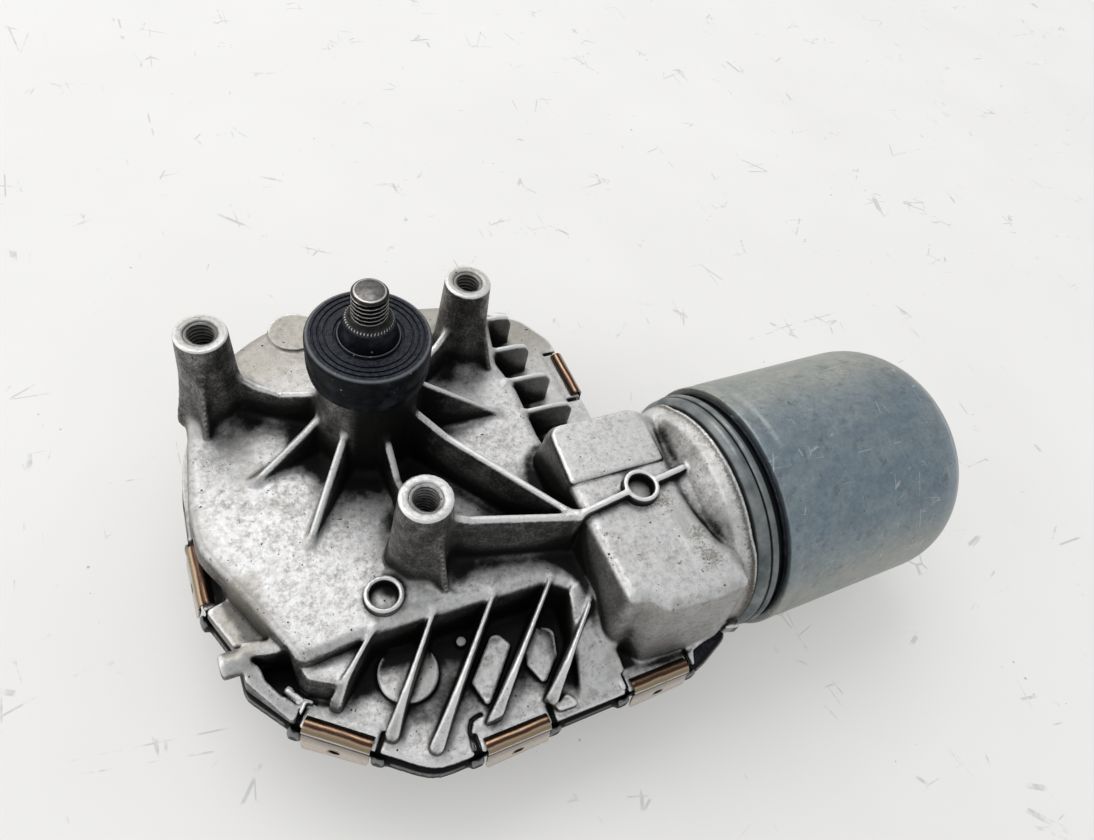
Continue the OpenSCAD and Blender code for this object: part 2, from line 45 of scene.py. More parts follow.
# Heights and axes of the frame, mm.
DECK_TOP = -28.5
DECK_BOTTOM = -31.0
RIM_TOP = -42.0
RIM_BOTTOM = -46.0
BLOCK_TOP = -14.0
HUB_TOP = -2.0
SEAL_BOTTOM = -46.8
COVER_BOTTOM = -50.0
COVER_LIP = -47.2
GROUND = -72.1
AXIS_Y = -48.3
AXIS_Z = -36.5
CAN_FRONT = 88.4
CAN_END = 162.8
CAN_RADIUS = 35.6
COLLAR_FRONT = 79.4
SHAFT_TOP = 25.4
BOSS_CIRCLE = 40.25
BOSS_ANGLES = [31.7, 151.7, 271.7]
JUNCTION = (39.0, -49.5)
STRIP_WIDTH = 16.6
STRIP_THICK = 0.55
RING_ONE = (-10.2, -48.4)
RING_TWO = (57.5, -47.2)

# Clips: place on the rim's edge and direction outward.
CLIPS = {
    "clip_left_spring": (-49.8, -22.5, 180),
    "clip_front_left_spring": (-28.3, -72.4, 232),
    "clip_front_spring": (11.6, -87.5, 270),
    "clip_front_right_spring": (52, -87.5, 270),
    "clip_rear_right_spring": (71.5, 12.5, 0),
    "clip_rear_spring": (30, 47.4, 86.4),
}


def polar(radius, degrees, centre=(0, 0)):
    """The point at a radius and an angle from the centre."""
    a = math.radians(degrees)
    return (centre[0] + radius * math.cos(a), centre[1] + radius * math.sin(a))


# ---- Distance fields ----

def soft_min(a, b, blend):
    """The smaller of two distances, with a fillet where they meet."""
    near = np.maximum(blend - np.abs(a - b), 0) / blend
    return np.minimum(a, b) - near * near * blend / 4


def soft_max(a, b, blend):
    return -soft_min(-a, -b, blend)


def rounded(outline):
    """Points of an outline whose corners are (x, y, rounding radius)."""
    points = []
    for i, corner in enumerate(outline):
        here = Vector(corner[:2])
        to_last = Vector(outline[i - 1][:2]) - here
        to_next = Vector(outline[(i + 1) % len(outline)][:2]) - here
        half = to_last.angle(to_next) / 2
        reach = min(corner[2] / math.tan(half), 0.45 * to_last.length, 0.45 * to_next.length)
        radius = reach * math.tan(half)
        middle = (to_last.normalized() + to_next.normalized()).normalized()
        centre = here + middle * radius / math.sin(half)
        first = here + to_last.normalized() * reach - centre
        last = here + to_next.normalized() * reach - centre
        turn = first.angle_signed(last)
        steps = max(1, math.ceil(abs(turn) / 0.25))
        for k in range(steps + 1):
            points.append(centre + Matrix.Rotation(-turn * k / steps, 2) @ first)
    return [(p.x, p.y) for p in points]


def outline_distance(points, x, y):
    """Distance from a closed outline, negative inside."""
    nearest = None
    side = 1.0
    for (ax, ay), (bx, by) in zip(points[-1:] + points[:-1], points, strict=True):
        ex, ey = bx - ax, by - ay
        wx, wy = x - ax, y - ay
        length = ex * ex + ey * ey
        if length < 1e-9:
            continue
        t = np.clip((wx * ex + wy * ey) / length, 0, 1)
        away = (wx - ex * t) ** 2 + (wy - ey * t) ** 2
        nearest = away if nearest is None else np.minimum(nearest, away)
        above, below, left = wy >= 0, y < by, ex * wy > ey * wx
        crosses = (above & below & left) | (~above & ~below & ~left)
        side = np.where(crosses, -side, side)
    return side * np.sqrt(nearest)


def prism(outline, bottom, top, draft=0.0, edge=0.8):
    """An outline drawn up from bottom to top. It widens by draft for each mm downward."""
    points = rounded(outline)
    xs, ys = [p[0] for p in points], [p[1] for p in points]
    grow = draft * (top - bottom)

    def shape(x, y, z):
        side = outline_distance(points, x, y) + (z - top) * draft
        return np.maximum(soft_max(side, z - top, edge), bottom - z)

    return shape, (min(xs) - grow, min(ys) - grow, bottom), (max(xs) + grow, max(ys) + grow, top)


def turned(profile, centre, edge=0.6, along="z"):
    """A turned shape. The profile is (place along the axis, radius), and centre is its axis."""
    places = [p[0] for p in profile]
    radii = [p[1] for p in profile]
    reach = max(radii)

    def shape(x, y, z):
        length, u, v = (z, x, y) if along == "z" else (x, y, z)
        away = np.sqrt((u - centre[0]) ** 2 + (v - centre[1]) ** 2)
        side = away - np.interp(length, places, radii)
        ends = np.maximum(length - places[-1], places[0] - length)
        return soft_max(side, ends, edge)

    if along == "z":
        low = (centre[0] - reach, centre[1] - reach, places[0])
        high = (centre[0] + reach, centre[1] + reach, places[-1])
    else:
        low = (places[0], centre[0] - reach, centre[1] - reach)
        high = (places[-1], centre[0] + reach, centre[1] + reach)
    return shape, low, high


def wall(start, end, tops, thick=1.6, draft=0.05, bottom=RIM_TOP, crest=1.2, ends=0.8, spread=0.0):
    """A rib with a round crest. Each of tops is (part of the length, height).

    The rib is thicker by spread at its end."""
    sx, sy = start
    ex, ey = end
    length = math.hypot(ex - sx, ey - sy)
    ux, uy = (ex - sx) / length, (ey - sy) / length
    parts = [t[0] * length for t in tops]
    heights = [t[1] for t in tops]
    grow = (thick + spread) / 2 + draft * (max(heights) - bottom)

    def shape(x, y, z):
        along = (x - sx) * ux + (y - sy) * uy
        across = np.abs((y - sy) * ux - (x - sx) * uy)
        top = np.interp(along, parts, heights)
        half = (thick + spread * np.clip(along / length, 0, 1) ** 4) / 2
        side = across - half - draft * (top - z)
        body = soft_max(side, z - top, crest)
        stop = np.maximum(-along, along - length)
        return np.maximum(soft_max(body, stop, ends), bottom - z)

    low = (min(sx, ex) - grow, min(sy, ey) - grow, bottom)
    high = (max(sx, ex) + grow, max(sy, ey) + grow, max(heights))
    return shape, low, high


def sloped(made, y_start, height, rise, slant, edge):
    """The shape under a plane with this height at y_start. It rises along Y, and slant is its cosine."""
    shape, low, high = made

    def under(x, y, z):
        return soft_max(shape(x, y, z), (z - height - rise * (y - y_start)) * slant, edge)

    return under, low, high


def block(centre, size, turn=0.0, edge=0.6):
    """A rounded box, turned about Z by degrees."""
    c, s = polar(1, turn)
    reach = math.hypot(size[0], size[1]) / 2

    def shape(x, y, z):
        dx, dy = x - centre[0], y - centre[1]
        a = np.abs(dx * c + dy * s) - size[0] / 2
        b = np.abs(dy * c - dx * s) - size[1] / 2
        return soft_max(soft_max(a, b, edge), np.abs(z - centre[2]) - size[2] / 2, edge)

    low = (centre[0] - reach, centre[1] - reach, centre[2] - size[2] / 2)
    high = (centre[0] + reach, centre[1] + reach, centre[2] + size[2] / 2)
    return shape, low, high


class Solid:
    """A solid built from distance fields on a grid, in mm."""

    far = 6.0

    def __init__(self, low, high, step):
        self.low = low
        self.step = step
        self.count = [int((high[i] - low[i]) / step) + 1 for i in range(3)]
        self.field = np.full(self.count, self.far, np.float32)

    def window(self, low, high, margin):
        first = [max(0, int((low[i] - margin - self.low[i]) / self.step)) for i in range(3)]
        last = [
            min(self.count[i], int((high[i] + margin - self.low[i]) / self.step) + 2) for i in range(3)
        ]
        x, y, z = (
            self.low[i] + self.step * np.arange(first[i], last[i], dtype=np.float32) for i in range(3)
        )
        part = tuple(slice(first[i], last[i]) for i in range(3))
        return part, x[:, None, None], y[None, :, None], z[None, None, :]

    def add(self, made, blend=1.0):
        shape, low, high = made
        part, x, y, z = self.window(low, high, blend + 2)
        self.field[part] = soft_min(self.field[part], shape(x, y, z), blend)

    def cut(self, made, blend=0.4):
        shape, low, high = made
        part, x, y, z = self.window(low, high, blend + 2)
        self.field[part] = soft_max(self.field[part], -shape(x, y, z), blend)

    def blurred(self, reach):
        """How much of the space round each point is solid, from 0 to 1."""
        grid = np.clip(0.5 - self.skin / self.step, 0, 1)
        half = max(1, round(reach / self.step))
        for axis in range(3):
            for _ in range(2):
                pad = [(0, 0)] * 3
                pad[axis] = (half + 1, half)
                total = np.cumsum(np.pad(grid, pad, mode="edge"), axis=axis, dtype=np.float64)
                size = grid.shape[axis]
                upper = np.take(total, range(2 * half + 1, 2 * half + 1 + size), axis)
                lower = np.take(total, range(size), axis)
                grid = ((upper - lower) / (2 * half + 1)).astype(np.float32)
        return grid

    def sample(self, grid, points):
        """Values of the grid at points in mm, between its corners."""
        place = (points - np.array(self.low)) / self.step
        place = np.clip(place, 0, np.array(self.count) - 1.001)
        base = place.astype(int)
        part = place - base
        total = np.zeros(len(points))
        for corner in np.ndindex(2, 2, 2):
            c = np.array(corner)
            weight = np.prod(np.where(c, part, 1 - part), axis=1)
            index = base + c
            total += weight * grid[index[:, 0], index[:, 1], index[:, 2]]
        return total

    def keep_skin(self):
        """Remembers the outer shape, before hollows are cut, for the masks of wear, painted highlight,
        grime and painted shade.
        """
        self.skin = self.field.copy()

    def mesh(self, name, material):
        """The solid as a piece, with how convex and how enclosed each point is."""
        grid = openvdb.FloatGrid(self.far)
        grid.copyFromArray(self.field)
        points, triangles, quads = grid.convertToPolygons(0.0, 0.0)
        places = points * self.step + np.array(self.low)
        faces = triangles.tolist() + quads.tolist()
        data = bpy.data.meshes.new(name)
        data.from_pydata(places * MM, [], faces)
        data.polygons.foreach_set("use_smooth", [True] * len(data.polygons))
        data.update()
        normals = np.zeros(3 * len(data.vertices), np.float32)
        data.vertex_normals.foreach_get("vector", normals)
        normals = normals.reshape(-1, 3)
        piece = bpy.data.objects.new(name, data)
        set_values(piece, "edge", 0.5 - self.sample(self.blurred(0.7), places))
        # Reach of the surroundings, and how far off the surface they are taken
        for label, reach, lift in (("inner", 2.0, 1.6), ("deep", 5.0, 4.0), ("wide", 9.0, 4.0)):
            set_values(piece, label, self.sample(self.blurred(reach), places + normals * lift))
        bpy.context.collection.objects.link(piece)
        data.materials.append(material)
        return piece


# ---- Materials ----

class Nodes:
    """A procedural material built node by node."""

    def __init__(self, name):
        self.material = bpy.data.materials.new(name)
        self.material.use_nodes = True
        self.tree = self.material.node_tree
        self.tree.nodes.clear()
        self.place = self.add("TexCoord").outputs["Object"]

    def add(self, kind, inputs=None, **settings):
        node = self.tree.nodes.new("ShaderNode" + kind)
        for key, value in settings.items():
            setattr(node, key, value)
        for key, value in (inputs or {}).items():
            if isinstance(value, bpy.types.NodeSocket):
                self.tree.links.new(value, node.inputs[key])
            else:
                node.inputs[key].default_value = value
        return node

    def stretched(self, x, y, z):
        return self.add("Mapping", {"Vector": self.place, "Scale": (x, y, z)}).outputs[0]

    def noise(self, per_metre, detail=4.0, rough=0.6, distortion=0.0, where=None):
        inputs = {"Vector": where or self.place, "Scale": per_metre, "Detail": detail,
                  "Roughness": rough, "Distortion": distortion}
        return self.add("TexNoise", inputs).outputs["Fac"]

    def axes(self, vector=None):
        return self.add("SeparateXYZ", {0: vector or self.place}).outputs

    def facing_up(self):
        return self.axes(self.add("NewGeometry").outputs["Normal"])["Z"]

    def cells(self, per_metre, feature="F1", where=None):
        inputs = {"Vector": where or self.place, "Scale": per_metre}
        return self.add("TexVoronoi", inputs, feature=feature).outputs["Distance"]

    def attribute(self, name):
        return self.add("Attribute", attribute_name=name).outputs["Fac"]

    def span(self, value, low, high, to_low=0.0, to_high=1.0):
        """Smooth step from to_low, where value is low, to to_high, where it is high."""
        inputs = {"Value": value, "From Min": low, "From Max": high, "To Min": to_low, "To Max": to_high}
        return self.add("MapRange", inputs, interpolation_type="SMOOTHSTEP").outputs[0]

    def math(self, operation, a, b=0.0):
        return self.add("Math", {0: a, 1: b}, operation=operation).outputs[0]

    def times(self, a, b):
        return self.math("MULTIPLY", a, b)

    def plus(self, a, b):
        return self.math("ADD", a, b)

    def minus(self, a, b):
        return self.math("SUBTRACT", a, b)

    def below(self, a, b):
        return self.math("LESS_THAN", a, b)

    def most(self, *values):
        total = values[0]
        for value in values[1:]:
            total = self.math("MAXIMUM", total, value)
        return total

    def jitter(self, value, source, amount):
        """The value, moved up and down by a noise that runs from 0 to 1."""
        return self.plus(value, self.times(self.minus(source, 0.5), amount))

    def mix(self, factor, a, b, blend="MIX"):
        inputs = {0: factor, 6: a, 7: b}
        return self.add("Mix", inputs, data_type="RGBA", blend_type=blend).outputs[2]

    def coat(self, base, mask, amount, colour):
        """The base with a colour over it where the mask is high."""
        return self.mix(self.times(mask, amount), base, (*colour, 1))

    def ramp(self, value, stops):
        node = self.add("ValToRGB", {"Fac": value})
        while len(node.color_ramp.elements) < len(stops):
            node.color_ramp.elements.new(0.5)
        for element, (place, colour) in zip(node.color_ramp.elements, stops, strict=True):
            element.position = place
            element.color = (*colour, 1.0)
        return node.outputs["Color"]

    def bump(self, height, depth_mm, strength):
        inputs = {"Height": height, "Distance": depth_mm * MM, "Strength": strength}
        return self.add("Bump", inputs).outputs["Normal"]

    def finish(self, colour, roughness, normal, metallic=0.0, **constants):
        inputs = {"Base Color": colour, "Roughness": roughness, "Normal": normal, "Metallic": metallic}
        inputs.update({key.replace("_", " "): value for key, value in constants.items()})
        shader = self.add("BsdfPrincipled", inputs)
        self.add("OutputMaterial", {"Surface": shader.outputs["BSDF"]})
        return self.material


def grey(value, warm=0.0):
    """A grey, warmer when warm is above 0."""
    return (value * (1 + warm), value, value * (1 - warm))


def cast_grime_and_shade(n, here, patch, steep):
    """Grime and painted shade where the surface is enclosed, most of all on walls."""
    inner, deep, wide = (n.attribute(label) for label in ("inner", "deep", "wide"))
    near_grime_shade = n.times(n.span(n.jitter(inner, patch, 0.2), 0.25, 0.40), n.span(steep, 0, 1, 0.4, 0.9))
    deep_grime_shade = n.times(n.span(n.jitter(deep, patch, 0.14), 0.26, 0.38), 0.98)
    wide_grime_shade = n.times(n.span(n.jitter(wide, patch, 0.14), 0.40, 0.54), 0.98)
    deep_wall = n.span(n.jitter(deep, patch, 0.16), 0.17, 0.33)
    wide_wall = n.span(n.jitter(wide, patch, 0.2), 0.25, 0.42)
    wall_grime_shade = n.times(n.times(n.most(deep_wall, wide_wall), steep), 0.93)
    # Grime, and a painted shadow under the cap, darken the front of the hub
    flat_place = n.add("CombineXYZ", {"X": here["X"], "Y": here["Y"]}).outputs[0]
    away = n.add("VectorMath", {0: flat_place}, operation="LENGTH").outputs["Value"]
    front = n.span(n.minus(here["X"], here["Y"]), 0.0005, 0.006)
    grime_and_cap_shadow = n.times(n.span(n.jitter(away, patch, 0.012), 0.027, 0.018), front)
    return n.most(near_grime_shade, deep_grime_shade, wide_grime_shade, wall_grime_shade, n.times(grime_and_cap_shadow, 0.97))


def cast_aluminium():
    """Pale grey casting: grainy skin, pits, bright edges of wear and painted highlight, and grime and
    painted shade in the recesses.
    """
    n = Nodes("cast_aluminium")
    edge = n.attribute("edge")
    broad = n.noise(55, 4)
    patch = n.noise(260, 5, 0.65)
    fine = n.noise(1500, 5, 0.75)
    here = n.axes()
    jitter, most = n.jitter, n.most
    tone = jitter(jitter(jitter(n.noise(620, 4, 0.7), fine, 0.5), patch, 0.35), broad, 0.6)
    base = n.ramp(tone, [(0.26, grey(0.38, 0.04)), (0.40, grey(0.52, 0.025)), (0.52, grey(0.60, 0.01)),
                         (0.70, grey(0.65))])
    flecks = n.span(n.noise(760, 3, 0.7, 0.5), 0.64, 0.71)
    base = n.coat(base, flecks, 0.7, (0.13, 0.12, 0.105))
    # Stains beside the upper ring and on the end of the block
    for x, y, reach in ((66.5, -69.7, 3.4), (62.3, -51.6, 2.6), (66.5, -63.0, 2.4)):
        gap = n.add("VectorMath", {0: n.place, 1: (x * MM, y * MM, BLOCK_TOP * MM)}, operation="DISTANCE")
        spot = n.span(jitter(gap.outputs["Value"], fine, 0.016), reach * MM, 0.2 * reach * MM, 0.0, 0.6)
        base = n.mix(spot, base, (0.17, 0.15, 0.11, 1))
    # Brownish film in broad patches and over the rear of the deck
    rear = n.times(n.span(jitter(here["Y"], broad, 0.03), 0.006, 0.034), 0.8)
    stain = most(n.times(n.span(jitter(broad, patch, 0.5), 0.52, 0.66), 0.4), rear)
    base = n.mix(stain, base, (0.30, 0.28, 0.245, 1))
    # Painted shade: steep walls get a darker colour (skin)
    steep = n.span(jitter(n.facing_up(), patch, 0.3), 0.70, 0.18)
    skin = n.ramp(jitter(fine, patch, 0.8), [(0.34, grey(0.035, 0.05)), (0.50, grey(0.09, 0.04)),
                                             (0.66, grey(0.24, 0.03))])
    # The deck's colour darkens a little towards its free end
    base = n.mix(n.span(here["X"], -0.008, -0.040, 0.0, 0.16), base, (0.1, 0.1, 0.1, 1))
    # Less painted shade on the walls of the motor's end
    block_side = n.times(n.span(here["X"], 0.036, 0.046), n.span(here["Z"], -0.0138, -0.0152))
    base = n.mix(n.times(steep, n.span(block_side, 0, 1, 0.93, 0.45)), base, skin)
    grime_and_shade = cast_grime_and_shade(n, here, patch, steep)
    # Less grime and painted shade on the ledge beside the left clip, which gets a brownish grey coat
    ledge = n.times(n.span(here["X"], -0.0350, -0.0375), n.span(here["Y"], -0.0500, -0.0480))
    ledge = n.times(ledge, n.span(here["Y"], -0.0310, -0.0330))
    grime_and_shade = n.times(grime_and_shade, n.span(ledge, 0, 1, 1, 0.45))
    base = n.coat(base, ledge, 0.6, (0.30, 0.28, 0.24))
    # Painted shadow: the stepped foot under the rim's edge is painted black
    grime_and_shade = most(grime_and_shade, n.span(here["Z"], -0.0430, -0.0434))
    # Dark line of dirt where the flare meets the motor
    joint = n.times(n.span(jitter(here["X"], fine, 0.004), 0.0766, 0.0784), 0.85)
    base = n.mix(joint, base, (0.075, 0.062, 0.045, 1))
    base = n.mix(grime_and_shade, base, (0.006, 0.0057, 0.005, 1))
    # Painted shade: black lines in the concave creases
    crease_shade = n.span(jitter(edge, fine, 0.1), -0.06, -0.2)
    base = n.coat(base, crease_shade, 0.85, (0.012, 0.011, 0.010))
    pits = n.below(n.cells(900), n.span(n.noise(420, 2), 0.5, 0.75, 0.0, 0.28))
    base = n.coat(base, pits, 0.9, (0.02, 0.018, 0.016))
    # Bright edges: wear, and a painted highlight
    flat = n.span(steep, 1.0, 0.2, 0.06, 0.9)
    wear_and_glint = n.times(n.span(jitter(edge, fine, 0.2), 0.08, 0.18), flat)
    base = n.mix(wear_and_glint, base, (0.74, 0.74, 0.73, 1))
    rough = n.plus(n.span(tone, 0.3, 0.65, 0.46, 0.32), n.times(grime_and_shade, 0.2))
    rough = n.mix(wear_and_glint, rough, (0.33, 0.33, 0.33, 1))
    metallic = n.times(n.minus(1.0, grime_and_shade), 0.7)
    height = n.minus(n.plus(n.times(fine, 0.7), patch), n.times(pits, 1.5))
    return n.finish(base, rough, n.bump(height, 0.16, 0.7), metallic, Specular_IOR_Level=0.2)


def black_plastic():
    """Moulded plastic with a fine grain, dust, scuffs and painted glints on its edges, and a painted
    highlight along its lip.
    """
    n = Nodes("black_plastic")
    grain = n.noise(2600, 3)
    dust = n.span(n.noise(340, 5, 0.7), 0.5, 0.72)
    base = n.mix(n.times(dust, 0.4), (0.008, 0.008, 0.009, 1), (0.045, 0.043, 0.04, 1))
    wear_and_glint = n.span(n.plus(n.attribute("edge"), n.times(n.noise(900, 4), 0.1)), 0.16, 0.24)
    base = n.coat(base, wear_and_glint, 0.4, (0.12, 0.12, 0.12))
    # Painted highlight: a light grey line along the edge of the cover's lip
    height = n.axes()["Z"]
    lip_highlight = n.times(n.span(height, (COVER_LIP - 1.6) * MM, (COVER_LIP - 1.0) * MM),
                 n.span(n.attribute("edge"), 0.06, 0.13))
    base = n.coat(base, lip_highlight, 0.7, (0.32, 0.32, 0.315))
    rough = n.span(n.noise(500, 4), 0.3, 0.7, 0.35, 0.55)
    return n.finish(base, rough, n.bump(grain, 0.05, 0.5), 0.0, Specular_IOR_Level=0.25)


def black_rubber():
    """Blue-black rubber with a dull bloom and dust specks, painted lighter where it faces up, and painted
    highlight rings.
    """
    n = Nodes("black_rubber")
    bloom = n.noise(230, 5, 0.65)
    base = n.ramp(bloom, [(0.3, (0.002, 0.002, 0.003)), (0.5, (0.008, 0.009, 0.012)),
                          (0.7, (0.034, 0.038, 0.048))])
    # Painted light: faces turned up are painted lighter, with a grain
    up = n.facing_up()
    grain = n.ramp(n.noise(1100, 4, 0.8), [(0.35, (0.012, 0.014, 0.020)), (0.65, (0.060, 0.066, 0.082))])
    base = n.mix(n.span(up, 0.6, 0.95), base, grain)
    # Painted highlights: thin light rings where the attribute is set
    base = n.coat(base, n.attribute("painted_glint"), 0.8, (0.42, 0.43, 0.44))
    specks = n.below(n.cells(620), n.span(n.noise(170, 2), 0.5, 0.75, 0.0, 0.2))
    base = n.coat(base, specks, 0.8, (0.35, 0.35, 0.34))
    rough = n.span(n.noise(380, 4), 0.35, 0.7, 0.38, 0.6)
    height = n.plus(n.noise(1500, 4), n.times(specks, 0.8))
    return n.finish(base, rough, n.bump(height, 0.06, 0.6), 0.0, Specular_IOR_Level=0.16)


def scratches(n, layers, width, patches):
    """Thin broken lines: the borders of stretched cells, kept where patches is high."""
    lines = 0.0
    for stretch, density in layers:
        border = n.cells(density, "DISTANCE_TO_EDGE", n.stretched(*stretch))
        line = n.times(n.below(border, width), patches)
        lines = n.most(lines, line)
    return lines


def zinc_can():
    """Blue-grey zinc plate with a cloudy bloom, rub marks and fine scratches, and painted light that tints
    its upper front cooler and the rest warmer.
    """
    n = Nodes("zinc_plated_steel")
    cloud = n.noise(60, 6, 0.7, 0.4)
    streak = n.noise(200, 5, 0.65, 0.2, n.stretched(0.6, 1.0, 1.0))
    fine = n.noise(1300, 5, 0.75)
    mottle = n.noise(520, 5, 0.75, 0.5)
    tone = n.plus(n.times(cloud, 0.22), n.times(streak, 0.26))
    tone = n.plus(tone, n.plus(n.times(mottle, 0.32), n.times(fine, 0.2)))
    base = n.ramp(tone, [(0.32, (0.165, 0.205, 0.24)), (0.46, (0.24, 0.28, 0.31)),
                         (0.56, (0.325, 0.35, 0.36)), (0.70, (0.52, 0.52, 0.50))])
    # Painted light: the upper front of the can is tinted cooler, the rest warmer grey
    around = n.add("VectorMath", {0: n.place, 1: (0, -0.45 / CAN_RADIUS / MM, 0.9 / CAN_RADIUS / MM)},
                   operation="DOT_PRODUCT").outputs["Value"]
    middle = (0.9 * AXIS_Z - 0.45 * AXIS_Y) / CAN_RADIUS
    film_and_side_light = n.span(n.jitter(around, streak, 0.6), middle + 0.6, middle + 1.0)
    side_light_tint = n.mix(film_and_side_light, (1.14, 1.06, 0.94, 1), (0.90, 0.96, 0.99, 1))
    base = n.mix(1.0, base, side_light_tint, "MULTIPLY")
    stain = n.span(n.noise(240, 4, 0.7), 0.56, 0.68)
    base = n.coat(base, stain, 0.3, (0.085, 0.09, 0.095))
    # Worn line round the shoulder
    along = n.axes()["X"]
    crease = n.math("ABSOLUTE", n.minus(along, (CAN_END - 10.5) * MM))
    crease = n.span(n.jitter(crease, mottle, 0.004), 0.0012, 0.0)
    base = n.coat(base, crease, 0.35, (0.62, 0.62, 0.60))
    patches = n.span(n.noise(150, 4), 0.56, 0.62)
    lines = scratches(n, (((0.22, 1.0, 1.0), 130), ((1.0, 0.3, 0.3), 90)), 0.007, patches)
    base = n.coat(base, lines, 0.5, (0.6, 0.6, 0.58))
    specks = n.below(n.cells(420), n.span(n.noise(90, 3), 0.52, 0.78, 0.0, 0.26))
    base = n.coat(base, specks, 0.55, (0.04, 0.035, 0.03))
    chips = n.below(n.cells(210), n.span(n.noise(45, 3), 0.56, 0.78, 0.0, 0.12))
    base = n.coat(base, chips, 0.8, (0.80, 0.79, 0.76))
    rough = n.span(tone, 0.35, 0.7, 0.34, 0.46)
    height = n.minus(n.times(fine, 0.5), lines)
    return n.finish(base, rough, n.bump(height, 0.05, 0.5), 0.85)


def zinc_ring():
    """The motor's front ring: lighter zinc with grime and painted shade in its grooves."""
    n = Nodes("zinc_ring")
    cloud = n.noise(150, 5, 0.65)
    fine = n.noise(1400, 4)
    base = n.ramp(cloud, [(0.3, (0.12, 0.135, 0.14)), (0.5, (0.19, 0.205, 0.21)),
                          (0.7, (0.28, 0.29, 0.285))])
    groove = n.span(n.attribute("groove"), 0.1, 0.7)
    base = n.coat(base, groove, 0.95, (0.008, 0.009, 0.008))
    rough = n.span(cloud, 0.3, 0.7, 0.5, 0.32)
    return n.finish(base, rough, n.bump(fine, 0.05, 0.5), 0.8)


def spring_steel():
    """Bronze-tempered spring strip: colour bands and bands of painted highlight and shade follow its bend,
    and the skirt is pale.
    """
    n = Nodes("bronze_spring_steel")
    band = n.jitter(n.attribute("across"), n.noise(140, 3), 0.06)
    # Painted highlights and shade: the grey of each band across the strip's roll
    painted_light_bands = [(0.0, 0.05), (0.12, 0.06), (0.16, 0.45), (0.19, 0.09), (0.23, 0.07), (0.26, 0.50),
             (0.29, 0.33), (0.35, 0.25), (0.39, 0.80), (0.42, 0.14), (0.45, 0.05), (0.49, 0.02),
             (0.53, 0.34), (0.75, 0.58)]
    hue = n.ramp(band, [(0.0, (1.0, 0.70, 0.50)), (0.24, (1.0, 0.62, 0.42)), (0.28, (1.0, 0.80, 0.60)),
                        (0.33, (1.0, 0.85, 0.52)), (0.39, (1.0, 0.88, 0.90)), (0.45, (1.0, 0.68, 0.85)),
                        (0.52, (1.0, 0.90, 0.80))])
    base = n.mix(1.0, n.ramp(band, [(place, grey(value)) for place, value in painted_light_bands]), hue, "MULTIPLY")
    fine = n.noise(900, 5, 0.7)
    base = n.mix(n.span(fine, 0.55, 0.8, 0.0, 0.4), base, (0.10, 0.06, 0.04, 1))
    rough = n.span(n.noise(500, 4), 0.3, 0.7, 0.22, 0.4)
    return n.finish(base, rough, n.bump(fine, 0.03, 0.4), 0.85)


def shaft_steel():
    """Blackened turned steel. An attribute marks its painted highlights on edges and crests."""
    n = Nodes("shaft_steel")
    film_and_side_light = n.noise(700, 5, 0.7)
    painted_glint = n.jitter(n.attribute("painted_glint"), film_and_side_light, 0.5)
    base = n.ramp(painted_glint, [(0.0, grey(0.010)), (0.25, (0.05, 0.048, 0.046)), (0.5, (0.22, 0.21, 0.205)),
                          (1.0, (0.80, 0.79, 0.78))])
    rough = n.span(film_and_side_light, 0.3, 0.7, 0.40, 0.24)
    return n.finish(base, rough, n.bump(n.noise(900, 3), 0.04, 0.6), 0.85)


def plain(name, dark, light, rough=(0.25, 0.45), metallic=0.9):
    """A hidden part's material: two-tone mottling with fine grain."""
    n = Nodes(name)
    film_and_side_light = n.noise(300, 5, 0.6)
    base = n.ramp(film_and_side_light, [(0.3, dark), (0.7, light)])
    return n.finish(base, n.span(film_and_side_light, 0.3, 0.7, *rough), n.bump(n.noise(1500, 3), 0.04, 0.5), metallic)


# Dark and light tone, lowest and highest roughness, metallic
PLAIN_LOOKS = {
    "steel": ((0.16, 0.16, 0.16), (0.36, 0.36, 0.355), (0.25, 0.4)),
    "sintered_bronze": ((0.28, 0.17, 0.07), (0.45, 0.30, 0.14)),
    "acetal": ((0.70, 0.68, 0.60), (0.80, 0.78, 0.72), (0.35, 0.5), 0.0),
    "ferrite": ((0.03, 0.03, 0.032), (0.08, 0.08, 0.085), (0.5, 0.7), 0.2),
    "lamination_steel": ((0.12, 0.12, 0.13), (0.24, 0.24, 0.25)),
    "copper": ((0.45, 0.17, 0.07), (0.72, 0.33, 0.16)),
    "carbon": ((0.02, 0.02, 0.02), (0.06, 0.06, 0.06), (0.5, 0.7), 0.1),
    "circuit_board": ((0.01, 0.07, 0.03), (0.02, 0.13, 0.06), (0.3, 0.45), 0.0),
}
MATERIALS = {
    "cast_aluminium": cast_aluminium(),
    "black_plastic": black_plastic(),
    "black_rubber": black_rubber(),
    "bronze_spring_steel": spring_steel(),
    "zinc_plated_steel": zinc_can(),
    "zinc_ring": zinc_ring(),
    "shaft_steel": shaft_steel(),
}
MATERIALS.update({name: plain(name, *look) for name, look in PLAIN_LOOKS.items()})


# ---- Mesh helpers ----

def piece_from(name, vertices, faces, material, smooth=True):
    """A piece from points in mm."""
    data = bpy.data.meshes.new(name)
    data.from_pydata([(x * MM, y * MM, z * MM) for x, y, z in vertices], [], faces)
    data.validate()
    data.polygons.foreach_set("use_smooth", [smooth] * len(data.polygons))
    made = bmesh.new()
    made.from_mesh(data)
    bmesh.ops.recalc_face_normals(made, faces=made.faces)
    made.to_mesh(data)
    made.free()
    piece = bpy.data.objects.new(name, data)
    bpy.context.collection.objects.link(piece)
    data.materials.append(material)
    return piece


def set_values(piece, label, values):
    """Gives the piece a value at each point, for its material to read."""
    layer = piece.data.attributes.new(label, "FLOAT", "POINT")
    layer.data.foreach_set("value", np.array(values, np.float32))


